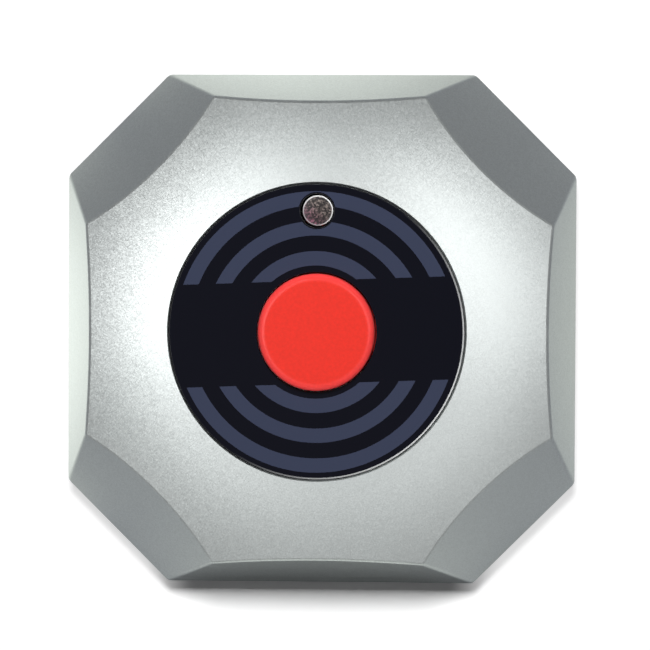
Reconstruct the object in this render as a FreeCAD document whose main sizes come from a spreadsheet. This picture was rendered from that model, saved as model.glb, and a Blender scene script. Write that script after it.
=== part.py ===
import FreeCAD, Part
import os
import Sketcher
from FreeCAD import Placement, Rotation, Vector

# Table call button. Millimetres, +Z up, origin on the table under the middle of the case.
# +Y is the side of the indicator, -Y the side where the battery door slides out.

SIZES = {
    # case outline: an octagon with four long sides and four short corners
    "across_flats": 85.0,
    "corner_distance": 48.15,
    "vertex_round": 1.2,
    # case heights and slopes
    "foot_proud": 1.0,
    "base_thickness": 2.0,
    "skirt_height": 1.2,
    "side_slope": 67.0,
    "corner_slope": 47.4,
    "crown_height": 23.4,
    "crown_radius": 96.0,
    "crown_edge_round": 0.9,
    "cover_wall": 2.2,
    # recess and panel
    "recess_radius": 24.1,
    "recess_lip_bevel": 0.3,
    "recess_floor": 1.8,
    "recess_wall": 2.0,
    "panel_thickness": 2.0,
    "panel_proud": 0.3,
    "panel_gap": 0.3,
    "panel_chamfer": 0.3,
    "adhesive_thickness": 0.15,
    "adhesive_inner_radius": 11.5,
    # call button
    "button_radius": 9.5,
    "button_gap": 0.25,
    "button_proud": 2.0,
    "button_edge_round": 1.25,
    "button_wall": 1.6,
    "button_top": 1.8,
    "button_flange_radius": 13.0,
    "button_flange": 1.2,
    "button_stop_gap": 0.12,
    "button_travel": 0.8,
    "stem_radius": 1.8,
    "guide_pin_radius": 1.0,
    "guide_pin_circle": 11.4,
    "guide_pin_clearance": 0.3,
    "guide_pin_overrun": 1.6,
    # circuit board
    "board_height": 7.8,
    "board_thickness": 1.6,
    "board_width": 41.0,
    "board_front": -18.2,
    "board_back_margin": 3.4,
    "board_screw_margin": 3.0,
    "board_screw_front_inset": 5.7,
    "board_screw_back_inset": 4.0,
    "board_screw_radius": 0.95,
    "board_screw_length": 5.0,
    "board_screw_head_radius": 1.9,
    "board_screw_head": 1.3,
    "board_post_radius": 2.4,
    "screw_clearance": 0.05,
    # tact switch
    "switch_width": 6.0,
    "switch_height": 3.5,
    "switch_cover_thickness": 0.2,
    "switch_total": 5.0,
    "plunger_radius": 1.75,
    "plunger_flange_radius": 2.3,
    "plunger_flange": 0.7,
    "plunger_clearance": 0.2,
    "plunger_travel": 0.4,
    "switch_leg_span": 9.0,
    "switch_leg_pitch": 4.5,
    "switch_leg_width": 0.7,
    "switch_leg_thickness": 0.3,
    "free_travel": 0.45,
    # return spring
    "spring_radius": 8.95,
    "spring_wire": 0.3,
    "spring_half_turns": 5,
    "spring_seat": 0.02,
    # indicator
    "led_margin": 1.6,
    "led_radius": 2.48,
    "led_rim": 0.3,
    "led_rim_drop": 0.2,
    "led_crown": 0.14,
    "led_flange_radius": 2.9,
    "led_flange": 1.0,
    "led_length": 8.6,
    "led_proud": 0.3,
    "led_hole_radius": 2.8,
    "led_lead_width": 0.5,
    "led_lead_pitch": 2.54,
    "led_lead_below": 0.9,
    "lead_clearance": 0.15,
    # parts on the board
    "chip_length": 10.0,
    "chip_width": 4.0,
    "chip_height": 1.5,
    "chip_standoff": 0.15,
    "chip_margin": 3.5,
    "chip_inset": 10.5,
    "chip_lead_pitch": 1.27,
    "chip_lead_width": 0.4,
    "chip_lead_reach": 1.0,
    "chip_lead_thickness": 0.2,
    "resonator_radius": 4.2,
    "resonator_flange_radius": 4.6,
    "resonator_height": 3.3,
    "resonator_flange": 0.4,
    "resonator_margin": 3.4,
    "resonator_inset": 13.5,
    "capacitor_radius": 2.4,
    "capacitor_foot_width": 5.0,
    "capacitor_foot": 0.7,
    "capacitor_headroom": 2.3,
    "capacitor_margin": 1.5,
    "capacitor_inset": 24.5,
    "transistor_length": 2.9,
    "transistor_width": 1.3,
    "transistor_height": 1.0,
    "transistor_margin": 2.55,
    "transistor_inset": 19.0,
    "transistor_leg_width": 0.4,
    "transistor_leg_pitch": 0.95,
    "transistor_leg_reach": 0.65,
    "transistor_leg_thickness": 0.15,
    "small_part_margin": 3.0,
    "small_part_inset": 9.2,
    "small_part_pitch": 3.0,
    "small_part_length": 2.0,
    "small_part_width": 1.25,
    "small_part_height": 0.6,
    "antenna_radius": 2.0,
    "antenna_wire": 0.35,
    "antenna_half_turns": 10,
    "antenna_length": 15.6,
    "antenna_gap": 0.65,
    "antenna_lift": 0.6,
    # battery and its box
    "battery_radius": 5.15,
    "battery_length": 28.5,
    "battery_nub_radius": 2.4,
    "battery_nub": 1.0,
    "battery_y": -26.5,
    "battery_x": 1.75,
    "battery_lift": 0.35,
    "box_half_length": 17.0,
    "box_wall": 1.4,
    "box_clearance": 0.35,
    "box_top": 9.2,
    "contact_width": 9.6,
    "contact_thickness": 0.4,
    "contact_gap": 0.1,
    "contact_tab_width": 1.5,
    "contact_tab_reach": 2.6,
    "contact_floor_gap": 0.3,
    "contact_pip_radius": 1.7,
    "contact_coil_wire": 0.3,
    "contact_coil_radius": 3.4,
    "contact_coil_half_turns": 5,
    "contact_coil_shrink": 0.25,
    "contact_coil_sink": 0.03,
    # battery door
    "door_half_width": 17.0,
    "door_clearance": 0.2,
    "door_inner_edge": -18.6,
    "door_rail": 1.2,
    "door_rail_height": 0.9,
    "channel_ceiling": 1.2,
    "channel_margin": 2.0,
    "grip_length": 16.0,
    "grip_width": 0.8,
    "grip_depth": 0.4,
    "grip_pitch": 1.8,
    "grip_start": -39.0,
    # base
    "rim_wall": 1.4,
    "rim_clearance": 0.2,
    "case_screw_offset": 25.2,
    "case_boss_radius": 3.2,
    "case_boss_bottom": 5.2,
    "case_tube_radius": 4.0,
    "case_screw_radius": 1.25,
    "case_screw_length": 8.0,
    "case_screw_head_radius": 2.5,
    "case_screw_head": 1.8,
    "case_head_depth": 2.6,
    "case_head_clearance": 0.3,
    "pilot_depth": 7.5,
    "foot_radius": 4.0,
    "foot_recess": 0.6,
    "foot_clearance": 0.1,
    "foot_x": 32.0,
    "foot_y": 18.0,
    "foot_edge_bevel": 0.4,
    "cover_rib": 1.2,
    "cover_rib_bottom": 12.0,
    "cover_rib_offset": 9.0,
    "base_rib": 1.2,
    "base_rib_height": 1.6,
    "base_edge_bevel": 0.4,
}

# heights, worked out from the sizes
BASE_BOTTOM = "dims.foot_proud"
BASE_TOP = "(dims.foot_proud + dims.base_thickness)"
SKIRT_TOP = f"({BASE_TOP} + dims.skirt_height)"
CROWN_CENTRE = "(dims.crown_height - dims.crown_radius)"
LIP_HEIGHT = f"({CROWN_CENTRE} + sqrt(dims.crown_radius ^ 2 - dims.recess_radius ^ 2))"
PANEL_TOP = f"({LIP_HEIGHT} + dims.panel_proud)"
PANEL_BOTTOM = f"({PANEL_TOP} - dims.panel_thickness)"
RECESS_FLOOR = f"({PANEL_BOTTOM} - dims.adhesive_thickness)"
RECESS_UNDERSIDE = f"({RECESS_FLOOR} - dims.recess_floor)"
BUTTON_TOP = f"({PANEL_TOP} + dims.button_proud)"
FLANGE_TOP = f"({RECESS_UNDERSIDE} - dims.button_stop_gap)"
FLANGE_BOTTOM = f"({FLANGE_TOP} - dims.button_flange)"
GUIDE_PIN_BOTTOM = f"({FLANGE_BOTTOM} - dims.button_travel - dims.guide_pin_overrun)"
BOARD_TOP = "(dims.board_height + dims.board_thickness)"
SWITCH_TOP = f"({BOARD_TOP} + dims.switch_height)"
PLUNGER_TOP = f"({BOARD_TOP} + dims.switch_total)"
PLUNGER_STEP = f"({SWITCH_TOP} - dims.plunger_clearance)"
PLUNGER_BOTTOM = f"({PLUNGER_STEP} - dims.plunger_flange)"
STEM_BOTTOM = f"({PLUNGER_TOP} + dims.free_travel)"
LED_TOP = f"({PANEL_TOP} + dims.led_proud)"
LED_BOTTOM = f"({LED_TOP} - dims.led_length)"
CAPACITOR_TOP = f"({RECESS_UNDERSIDE} - dims.capacitor_headroom)"
DOOR_TOP = f"({BASE_TOP} - dims.door_clearance)"
RAIL_BOTTOM = f"({DOOR_TOP} - dims.door_rail_height)"
GROOVE_BOTTOM = f"({RAIL_BOTTOM} - dims.door_clearance)"
BATTERY_AXIS = f"({DOOR_TOP} + dims.battery_lift + dims.battery_radius)"
HEAD_FLOOR = "(dims.foot_proud + dims.case_head_depth)"

# distances across the case, worked out from the sizes
FLAT = "(dims.across_flats / 2)"
CORNER = "dims.corner_distance"
INNER_FLAT = f"({FLAT} - dims.cover_wall / sin(dims.side_slope))"
INNER_CORNER = f"({CORNER} - dims.cover_wall / sin(dims.corner_slope))"
RIM_FLAT = f"({INNER_FLAT} - dims.rim_clearance)"
RIM_CORNER = f"({INNER_CORNER} - dims.rim_clearance)"
PAN_RADIUS = "(dims.recess_radius + dims.recess_wall)"
BOX_HALF_WIDTH = "(dims.battery_radius + dims.box_clearance)"
BOX_FRONT = f"(dims.battery_y - {BOX_HALF_WIDTH})"
BOX_BACK = f"(dims.battery_y + {BOX_HALF_WIDTH})"
CONTACT_OFFSET = "(dims.box_half_length - dims.contact_gap - dims.contact_thickness)"
DOOR_EDGE = "(dims.door_inner_edge - dims.door_clearance)"
DOOR_WIDTH = "(dims.door_half_width - dims.door_clearance)"
RAIL_WIDTH = f"({DOOR_WIDTH} + dims.door_rail)"
GROOVE_WIDTH = f"({RAIL_WIDTH} + dims.door_clearance)"

# places on the board, worked out from the lamp's place and the board's edges
LED_Y = "(dims.recess_radius - dims.led_margin - dims.led_hole_radius)"
ANTENNA_Y = (f"({LED_Y} + dims.led_flange_radius + dims.antenna_gap + dims.antenna_wire"
             " + dims.antenna_radius)")
BOARD_SIDE = "(dims.board_width / 2)"
BOARD_BACK = f"({ANTENNA_Y} + dims.board_back_margin)"
BOARD_SCREW_X = f"({BOARD_SIDE} - dims.board_screw_margin)"
BOARD_SCREW_FRONT = "(dims.board_front + dims.board_screw_front_inset)"
BOARD_SCREW_BACK = f"({BOARD_BACK} - dims.board_screw_back_inset)"
CHIP_X = f"(dims.chip_margin + dims.chip_length / 2 - {BOARD_SIDE})"
CHIP_Y = f"({BOARD_BACK} - dims.chip_inset)"
TRANSISTOR_X = f"(dims.transistor_margin + dims.transistor_length / 2 - {BOARD_SIDE})"
TRANSISTOR_Y = f"({BOARD_BACK} - dims.transistor_inset)"
RESONATOR_X = f"({BOARD_SIDE} - dims.resonator_margin - dims.resonator_flange_radius)"
RESONATOR_Y = f"({BOARD_BACK} - dims.resonator_inset)"
CAPACITOR_X = f"({BOARD_SIDE} - dims.capacitor_margin - dims.capacitor_foot_width / 2)"
CAPACITOR_Y = f"({BOARD_BACK} - dims.capacitor_inset)"
SMALL_PART_X = f"({BOARD_SIDE} - dims.small_part_margin - dims.small_part_length / 2)"
SMALL_PART_Y = "(dims.board_front + dims.small_part_inset)"

FOUR_CORNERS = [(1, 1), (-1, 1), (-1, -1), (1, -1)]
GRIP_LINES = 5
CHIP_LEADS_PER_SIDE = 8
RESISTORS = 5
CHIP_CAPACITORS = 3
COIL_WIRE_SIDES = 6
OVERRUN = 1   # how far a cutting form runs past what it cuts
SMALL = 0.001

doc = FreeCAD.newDocument("call_button")
sheet = doc.addObject("Spreadsheet::Sheet", "dims")
for row, (alias, value) in enumerate(SIZES.items(), start=1):
    sheet.set(f"A{row}", alias.replace("_", " "))
    sheet.set(f"B{row}", str(value))
    sheet.setAlias(f"B{row}", alias)
doc.recompute()


# ---------------------------------------------------------------- helpers

def number(expression):
    """The present value of an expression in the sheet's sizes."""
    return float(sheet.evalExpression(str(expression)))


def new_body(name):
    """An empty PartDesign body whose label is its own name."""
    body = doc.addObject("PartDesign::Body", name)
    body.Label = name
    return body


def new_sketch(body, name, height="0", plane="XY_Plane"):
    """A sketch on one of the body's own origin planes, raised by an expression."""
    sketch = body.newObject("Sketcher::SketchObject", f"{body.Name}_{name}")
    origin_plane = [item for item in body.Origin.OriginFeatures if item.Role == plane][0]
    sketch.AttachmentSupport = [(origin_plane, "")]
    sketch.MapMode = "FlatFace"
    if plane == "XY_Plane":
        sketch.setExpression("AttachmentOffset.Base.z", height)
    return sketch


def tie_point(sketch, geometry, point, x, y):
    """Ties a point of the sketch to the origin by two driven distances."""
    for kind, expression in (("DistanceX", x), ("DistanceY", y)):
        index = sketch.addConstraint(
            Sketcher.Constraint(kind, -1, 1, geometry, point, number(expression)))
        sketch.setExpression(f"Constraints[{index}]", str(expression))


def draw_polygon(sketch, corners):
    """A closed outline of straight lines through corners given as expression pairs."""
    places = [Vector(number(x), number(y), 0) for x, y in corners]
    first = sketch.GeometryCount
    count = len(corners)
    for index in range(count):
        sketch.addGeometry(Part.LineSegment(places[index], places[(index + 1) % count]))
    for index in range(count):
        sketch.addConstraint(Sketcher.Constraint(
            "Coincident", first + index, 2, first + (index + 1) % count, 1))
    for index, (x, y) in enumerate(corners):
        tie_point(sketch, first + index, 1, x, y)


def draw_rectangle(sketch, left, right, front, back):
    draw_polygon(sketch, [(left, front), (right, front), (right, back), (left, back)])


def draw_octagon(sketch, flat, corner):
    """The case outline, from its distances to the long sides and to the cut corners."""
    half = f"({corner} * sqrt(2) - {flat})"
    draw_polygon(sketch, [
        (flat, f"-{half}"), (flat, half), (half, flat), (f"-{half}", flat),
        (f"-{flat}", half), (f"-{flat}", f"-{half}"), (f"-{half}", f"-{flat}"),
        (half, f"-{flat}"),
    ])


def draw_circle(sketch, x, y, radius):
    centre = Vector(number(x), number(y), 0)
    index = sketch.addGeometry(Part.Circle(centre, Vector(0, 0, 1), number(radius)))
    tie_point(sketch, index, 3, x, y)
    size = sketch.addConstraint(Sketcher.Constraint("Radius", index, number(radius)))
    sketch.setExpression(f"Constraints[{size}]", radius)


def pad(body, sketch, length):
    """Adds material upwards from the sketch."""
    feature = body.newObject("PartDesign::Pad", f"{sketch.Name}_pad")
    feature.Profile = sketch
    feature.setExpression("Length", length)
    doc.recompute()
    return feature


def pocket(body, sketch, length, upward=True):
    """Removes material from the sketch upwards, or downwards if upward is False."""
    before = body.Shape.Volume
    feature = body.newObject("PartDesign::Pocket", f"{sketch.Name}_pocket")
    feature.Profile = sketch
    feature.Reversed = upward
    feature.setExpression("Length", length)
    doc.recompute()
    if not body.Shape.Volume < before:
        raise RuntimeError(f"{feature.Name} removes nothing")
    return feature


def revolve(body, sketch):
    """Turns a profile in the XZ plane once about Z."""
    feature = body.newObject("PartDesign::Revolution", f"{sketch.Name}_turn")
    feature.Profile = sketch
    feature.ReferenceAxis = (sketch, ["V_Axis"])
    feature.Angle = 360
    doc.recompute()
    return feature


def edge_names(shape, wanted):
    """The names of the shape's edges that pass the test; a pole without length is no edge."""
    return [f"Edge{index}" for index, edge in enumerate(shape.Edges, start=1)
            if not edge.Degenerated and wanted(edge)]


def round_edges(body, name, radius, wanted):
    """Rounds every edge of the body's shape that passes the test."""
    tip = body.Tip
    feature = body.newObject("PartDesign::Fillet", f"{body.Name}_{name}")
    feature.Base = (tip, edge_names(tip.Shape, wanted))
    feature.setExpression("Radius", radius)
    doc.recompute()
    return feature


def bevel_edges(body, name, size, wanted):
    """Bevels every edge of the body's shape that passes the test."""
    tip = body.Tip
    feature = body.newObject("PartDesign::Chamfer", f"{body.Name}_{name}")
    feature.Base = (tip, edge_names(tip.Shape, wanted))
    feature.setExpression("Size", size)
    doc.recompute()
    return feature


def edge_rise(edge):
    """How far an edge climbs from its lowest to its highest end."""
    heights = [vertex.Z for vertex in edge.Vertexes]
    return max(heights) - min(heights)


def is_straight(edge):
    return isinstance(edge.Curve, Part.Line)


def is_upright(edge):
    """A straight edge that climbs, such as one between two sides of the case."""
    return is_straight(edge) and edge_rise(edge) > SMALL


def at_height(edge, height):
    box = edge.BoundBox
    return abs(box.ZMin - height) < SMALL and abs(box.ZMax - height) < SMALL


def ring_edge(edge, radius, height):
    """True for a full circle of this radius at this height."""
    return (isinstance(edge.Curve, Part.Circle) and at_height(edge, height)
            and abs(edge.Curve.Radius - radius) < SMALL)


def box(name, centre_x, centre_y, bottom, length, width, height):
    """A Part::Box centred in plan on a point, its sizes and place given as expressions."""
    item = doc.addObject("Part::Box", name)
    item.Label = name
    item.setExpression("Length", length)
    item.setExpression("Width", width)
    item.setExpression("Height", height)
    item.setExpression("Placement.Base.x", f"{centre_x} - {length} / 2")
    item.setExpression("Placement.Base.y", f"{centre_y} - {width} / 2")
    item.setExpression("Placement.Base.z", bottom)
    return item


def cylinder(name, centre_x, centre_y, bottom, radius, height):
    """A standing Part::Cylinder, its sizes and place given as expressions."""
    item = doc.addObject("Part::Cylinder", name)
    item.Label = name
    item.setExpression("Radius", radius)
    item.setExpression("Height", height)
    item.setExpression("Placement.Base.x", str(centre_x))
    item.setExpression("Placement.Base.y", str(centre_y))
    item.setExpression("Placement.Base.z", bottom)
    return item


def fuse(name, items):
    item = doc.addObject("Part::MultiFuse", name)
    item.Label = name
    item.Shapes = items
    return item


def cut(name, base, tool):
    item = doc.addObject("Part::Cut", name)
    item.Label = name
    item.Base = base
    item.Tool = tool
    return item


def group(name, items):
    """Several separate solids that share one node."""
    item = doc.addObject("Part::Compound", name)
    item.Label = name
    item.Links = items
    return item


# ---------------------------------------------------------------- case

def faceted_dome(body, flat, corner, bottom):
    """The case form below its crown: an octagon whose sides lean in at two slopes."""
    skirt = new_sketch(body, "skirt", bottom)
    draw_octagon(skirt, flat, corner)
    pad(body, skirt, f"{SKIRT_TOP} - {bottom}")
    block = new_sketch(body, "block", SKIRT_TOP)
    draw_octagon(block, flat, corner)
    pad(body, block, f"dims.crown_height - {SKIRT_TOP}")
    lean_facets(body, "side", flat, "dims.side_slope", 0)
    lean_facets(body, "corner", corner, "dims.corner_slope", 45)


def lean_facets(body, name, distance, slope, turned):
    """Cuts one wedge above the skirt so that its side leans in, and repeats it on four sides."""
    sketch = new_sketch(body, f"{name}_wedge", plane="XZ_Plane")
    sketch.AttachmentOffset = Placement(Vector(), Rotation(Vector(0, 1, 0), turned))
    outside = f"({distance} + {OVERRUN})"
    above = f"(dims.crown_height + {OVERRUN})"
    draw_polygon(sketch, [
        (distance, SKIRT_TOP), (outside, SKIRT_TOP), (outside, above),
        (f"({distance} - ({above} - {SKIRT_TOP}) / tan({slope}))", above),
    ])
    wedge = pocket(body, sketch, "2 * dims.across_flats")
    wedge.SideType = "Symmetric"
    pattern = body.newObject("PartDesign::PolarPattern", f"{body.Name}_{name}_facets")
    pattern.Originals = [wedge]
    pattern.Axis = (sketch, ["V_Axis"])
    pattern.Angle = 360
    pattern.Occurrences = 4
    body.Tip = pattern
    doc.recompute()


def trim_crown(body, crown_radius, inner_edge="0", floor=None):
    """Turns away what is above the spherical crown, and a recess down to the floor if given."""
    sketch = new_sketch(body, "crown", plane="XZ_Plane")
    reach = f"({CORNER} * sqrt(2))"
    roof = f"(dims.crown_height + {OVERRUN})"
    crown = f"{CROWN_CENTRE} + sqrt({crown_radius} ^ 2 - "
    low_end = (reach, f"{crown} ({reach}) ^ 2)")
    high_end = (inner_edge, f"{crown} ({inner_edge}) ^ 2)")
    recess = [("0", floor), (inner_edge, floor)] if floor else []
    corners = [low_end, (reach, roof), ("0", roof)] + recess + [high_end]
    places = [Vector(number(x), number(y), 0) for x, y in corners]
    centre = Vector(0, number(CROWN_CENTRE), 0)
    circle = Part.Circle(centre, Vector(0, 0, 1), number(crown_radius))
    arc = sketch.addGeometry(Part.ArcOfCircle(
        circle, circle.parameter(places[0]), circle.parameter(places[-1])))
    for first, second in zip(places, places[1:]):
        sketch.addGeometry(Part.LineSegment(first, second))
    last = sketch.GeometryCount - 1
    for index in range(1, last):
        sketch.addConstraint(Sketcher.Constraint("Coincident", index, 2, index + 1, 1))
    sketch.addConstraint(Sketcher.Constraint("Coincident", arc, 1, 1, 1))
    sketch.addConstraint(Sketcher.Constraint("Coincident", arc, 2, last, 2))
    for index, (x, y) in enumerate(corners[:-1], start=1):
        tie_point(sketch, index, 1, x, y)
    tie_point(sketch, last, 2, *high_end)
    size = sketch.addConstraint(Sketcher.Constraint("Radius", arc, number(crown_radius)))
    sketch.setExpression(f"Constraints[{size}]", crown_radius)
    groove = body.newObject("PartDesign::Groove", f"{body.Name}_crown_cut")
    groove.Profile = sketch
    groove.ReferenceAxis = (sketch, ["V_Axis"])
    groove.Angle = 360
    doc.recompute()


def make_cover_outside():
    """The cover's outer form, still solid inside, with the recess sunk into its crown."""
    body = new_body("cover_outside")
    faceted_dome(body, FLAT, CORNER, BASE_TOP)
    trim_crown(body, "dims.crown_radius", "dims.recess_radius", RECESS_FLOOR)
    bevel_edges(body, "lip", "dims.recess_lip_bevel",
                lambda edge: ring_edge(edge, number("dims.recess_radius"), number(LIP_HEIGHT)))
    round_edges(body, "vertices", "dims.vertex_round", is_upright)
    centre = Vector(0, 0, number(CROWN_CENTRE))
    radius = number("dims.crown_radius")

    def on_crown(edge):
        """An edge between the crown and the facets, whose every point is on the sphere."""
        points = edge.discretize(5)
        on_sphere = all(abs((point - centre).Length - radius) < SMALL for point in points)
        near_rim = min(Vector(point.x, point.y).Length for point in points) > number(PAN_RADIUS)
        return on_sphere and near_rim

    round_edges(body, "crown_edge", "dims.crown_edge_round", on_crown)
    holes = new_sketch(body, "recess_holes", RECESS_FLOOR)
    draw_circle(holes, "0", "0", "dims.button_radius + dims.button_gap")
    draw_circle(holes, "0", LED_Y, "dims.led_hole_radius")
    pocket(body, holes, f"{RECESS_FLOOR} - {BASE_TOP} + {OVERRUN}", upward=False)
    return body


def guide_pin_places():
    """Three places evenly round the button, as expression pairs."""
    circle = "dims.guide_pin_circle"
    return [(f"{circle} * cos({angle})", f"{circle} * sin({angle})") for angle in (210, 330, 90)]


def make_cover_core():
    """What is hollow inside the cover: its inner form, less the bosses, the pan and the ribs."""
    body = new_body("cover_core")
    faceted_dome(body, INNER_FLAT, INNER_CORNER, BASE_TOP)
    trim_crown(body, "(dims.crown_radius - dims.cover_wall)")
    full_height = "dims.crown_height"
    bosses = new_sketch(body, "bosses", "dims.case_boss_bottom")
    for sign_x, sign_y in FOUR_CORNERS:
        draw_circle(bosses, f"{sign_x} * dims.case_screw_offset",
                    f"{sign_y} * dims.case_screw_offset", "dims.case_boss_radius")
    pocket(body, bosses, full_height)
    pan = new_sketch(body, "pan", RECESS_UNDERSIDE)
    draw_circle(pan, "0", "0", PAN_RADIUS)
    pocket(body, pan, full_height)
    pins = new_sketch(body, "guide_pins", GUIDE_PIN_BOTTOM)
    for x, y in guide_pin_places():
        draw_circle(pins, x, y, "dims.guide_pin_radius")
    pocket(body, pins, full_height)
    ribs = new_sketch(body, "ribs", "dims.cover_rib_bottom")
    for place in ("-dims.cover_rib_offset", "0", "dims.cover_rib_offset"):
        front = f"({place} - dims.cover_rib / 2)"
        back = f"({place} + dims.cover_rib / 2)"
        draw_rectangle(ribs, "dims.recess_radius", FLAT, front, back)
        draw_rectangle(ribs, f"-{FLAT}", "-dims.recess_radius", front, back)
    pocket(body, ribs, full_height)
    pilots = new_sketch(body, "pilots", "dims.case_boss_bottom")
    for sign_x, sign_y in FOUR_CORNERS:
        draw_circle(pilots, f"{sign_x} * dims.case_screw_offset",
                    f"{sign_y} * dims.case_screw_offset",
                    "dims.case_screw_radius + dims.screw_clearance")
    body.AllowCompound = True
    pad(body, pilots, "dims.pilot_depth")
    return body


def make_top_cover():
    return cut("top_cover", make_cover_outside(), make_cover_core())


def make_base_cover():
    """The bottom shell: plate, rim, door channel, battery box, screw tubes and board posts."""
    body = new_body("base_cover")
    plate = new_sketch(body, "plate", BASE_BOTTOM)
    draw_octagon(plate, FLAT, CORNER)
    pad(body, plate, "dims.base_thickness")
    round_edges(body, "vertices", "dims.vertex_round", is_upright)
    bevel_edges(body, "bottom_edge", "dims.base_edge_bevel",
                lambda edge: at_height(edge, number(BASE_BOTTOM)))
    rim = new_sketch(body, "rim", BASE_TOP)
    draw_octagon(rim, RIM_FLAT, RIM_CORNER)
    draw_octagon(rim, f"({RIM_FLAT} - dims.rim_wall)", f"({RIM_CORNER} - dims.rim_wall)")
    pad(body, rim, "dims.skirt_height - dims.rim_clearance")
    ribs = new_sketch(body, "ribs", BASE_TOP)
    half_rib = "dims.base_rib / 2"
    rib_reach = f"({RIM_FLAT} - dims.rim_wall / 2)"
    draw_rectangle(ribs, f"-{rib_reach}", rib_reach, f"-{half_rib}", half_rib)
    pad(body, ribs, "dims.base_rib_height")
    ribs_across = new_sketch(body, "ribs_across", BASE_TOP)
    draw_rectangle(ribs_across, f"-{half_rib}", half_rib, "dims.door_inner_edge", rib_reach)
    pad(body, ribs_across, "dims.base_rib_height")
    ceiling = new_sketch(body, "ceiling", BASE_TOP)
    ceiling_reach = f"({GROOVE_WIDTH} + dims.channel_margin)"
    ceiling_front = f"-({RIM_FLAT} - dims.rim_wall / 2)"
    draw_rectangle(ceiling, f"-{ceiling_reach}", ceiling_reach, ceiling_front,
                   "(dims.door_inner_edge + dims.channel_margin)")
    pad(body, ceiling, "dims.channel_ceiling")
    walls = new_sketch(body, "box_walls", BASE_TOP)
    draw_rectangle(walls, "-(dims.box_half_length + dims.box_wall)",
                   "(dims.box_half_length + dims.box_wall)",
                   f"{BOX_FRONT} - dims.box_wall", f"{BOX_BACK} + dims.box_wall")
    pad(body, walls, f"dims.box_top - {BASE_TOP}")
    inside = new_sketch(body, "box_inside", BASE_BOTTOM)
    draw_rectangle(inside, "-dims.box_half_length", "dims.box_half_length", BOX_FRONT, BOX_BACK)
    pocket(body, inside, "dims.box_top")
    channel = new_sketch(body, "channel", BASE_BOTTOM)
    beyond = f"-({FLAT} + {OVERRUN})"
    draw_rectangle(channel, "-dims.door_half_width", "dims.door_half_width", beyond,
                   "dims.door_inner_edge")
    pocket(body, channel, "dims.base_thickness")
    grooves = new_sketch(body, "grooves", GROOVE_BOTTOM)
    draw_rectangle(grooves, f"-{GROOVE_WIDTH}", GROOVE_WIDTH, beyond, "dims.door_inner_edge")
    pocket(body, grooves, f"{BASE_TOP} - {GROOVE_BOTTOM}")
    tubes = new_sketch(body, "tubes", BASE_TOP)
    for sign_x, sign_y in FOUR_CORNERS:
        draw_circle(tubes, f"{sign_x} * dims.case_screw_offset",
                    f"{sign_y} * dims.case_screw_offset", "dims.case_tube_radius")
    pad(body, tubes, f"dims.case_boss_bottom - {BASE_TOP}")
    posts = new_sketch(body, "posts", BASE_TOP)
    for x, y in board_screw_places():
        draw_circle(posts, x, y, "dims.board_post_radius")
    pad(body, posts, f"dims.board_height - {BASE_TOP}")
    cut_base_holes(body)
    return body


def board_screw_places():
    return [(BOARD_SCREW_X, BOARD_SCREW_FRONT), (f"-{BOARD_SCREW_X}", BOARD_SCREW_FRONT),
            (f"-{BOARD_SCREW_X}", BOARD_SCREW_BACK), (BOARD_SCREW_X, BOARD_SCREW_BACK)]


def cut_base_holes(body):
    """Sinks the screw heads and the feet into the underside, and bores the screw holes."""
    heads = new_sketch(body, "heads", BASE_BOTTOM)
    shanks = new_sketch(body, "shanks", BASE_BOTTOM)
    feet = new_sketch(body, "feet", BASE_BOTTOM)
    for sign_x, sign_y in FOUR_CORNERS:
        x = f"{sign_x} * dims.case_screw_offset"
        y = f"{sign_y} * dims.case_screw_offset"
        draw_circle(heads, x, y, "dims.case_screw_head_radius + dims.case_head_clearance")
        draw_circle(shanks, x, y, "dims.case_screw_radius + dims.screw_clearance")
        draw_circle(feet, f"{sign_x} * dims.foot_x", f"{sign_y} * dims.foot_y",
                    "dims.foot_radius + dims.foot_clearance")
    pocket(body, heads, "dims.case_head_depth")
    pocket(body, shanks, "dims.case_boss_bottom")
    pocket(body, feet, "dims.foot_recess")
    pilots = new_sketch(body, "board_pilots", "dims.board_height")
    for x, y in board_screw_places():
        draw_circle(pilots, x, y, "dims.board_screw_radius + dims.screw_clearance")
    pocket(body, pilots, "dims.board_screw_length", upward=False)


def make_battery_door():
    """The sliding door: a plate with a rail along each side and finger grooves outside."""
    body = new_body("battery_door")
    plate = new_sketch(body, "plate", BASE_BOTTOM)
    draw_rectangle(plate, f"-{DOOR_WIDTH}", DOOR_WIDTH, f"-{FLAT}", DOOR_EDGE)
    pad(body, plate, f"{DOOR_TOP} - {BASE_BOTTOM}")
    rails = new_sketch(body, "rails", RAIL_BOTTOM)
    draw_rectangle(rails, f"-{RAIL_WIDTH}", RAIL_WIDTH, f"-{FLAT}", DOOR_EDGE)
    pad(body, rails, "dims.door_rail_height")
    grip = new_sketch(body, "grip", BASE_BOTTOM)
    for index in range(GRIP_LINES):
        start = f"dims.grip_start + {index} * dims.grip_pitch"
        draw_rectangle(grip, "-dims.grip_length / 2", "dims.grip_length / 2", start,
                       f"{start} + dims.grip_width")
    pocket(body, grip, "dims.grip_depth")
    return body


def make_rubber_feet():
    feet = []
    for index, (sign_x, sign_y) in enumerate(FOUR_CORNERS):
        body = new_body(f"foot_{index + 1}")
        disc = new_sketch(body, "disc")
        draw_circle(disc, f"{sign_x} * dims.foot_x", f"{sign_y} * dims.foot_y", "dims.foot_radius")
        pad(body, disc, "dims.foot_proud + dims.foot_recess")
        bevel_edges(body, "edge", "dims.foot_edge_bevel", lambda edge: at_height(edge, 0))
        feet.append(body)
    return group("rubber_feet", feet)


# ---------------------------------------------------------------- panel and button

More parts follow.
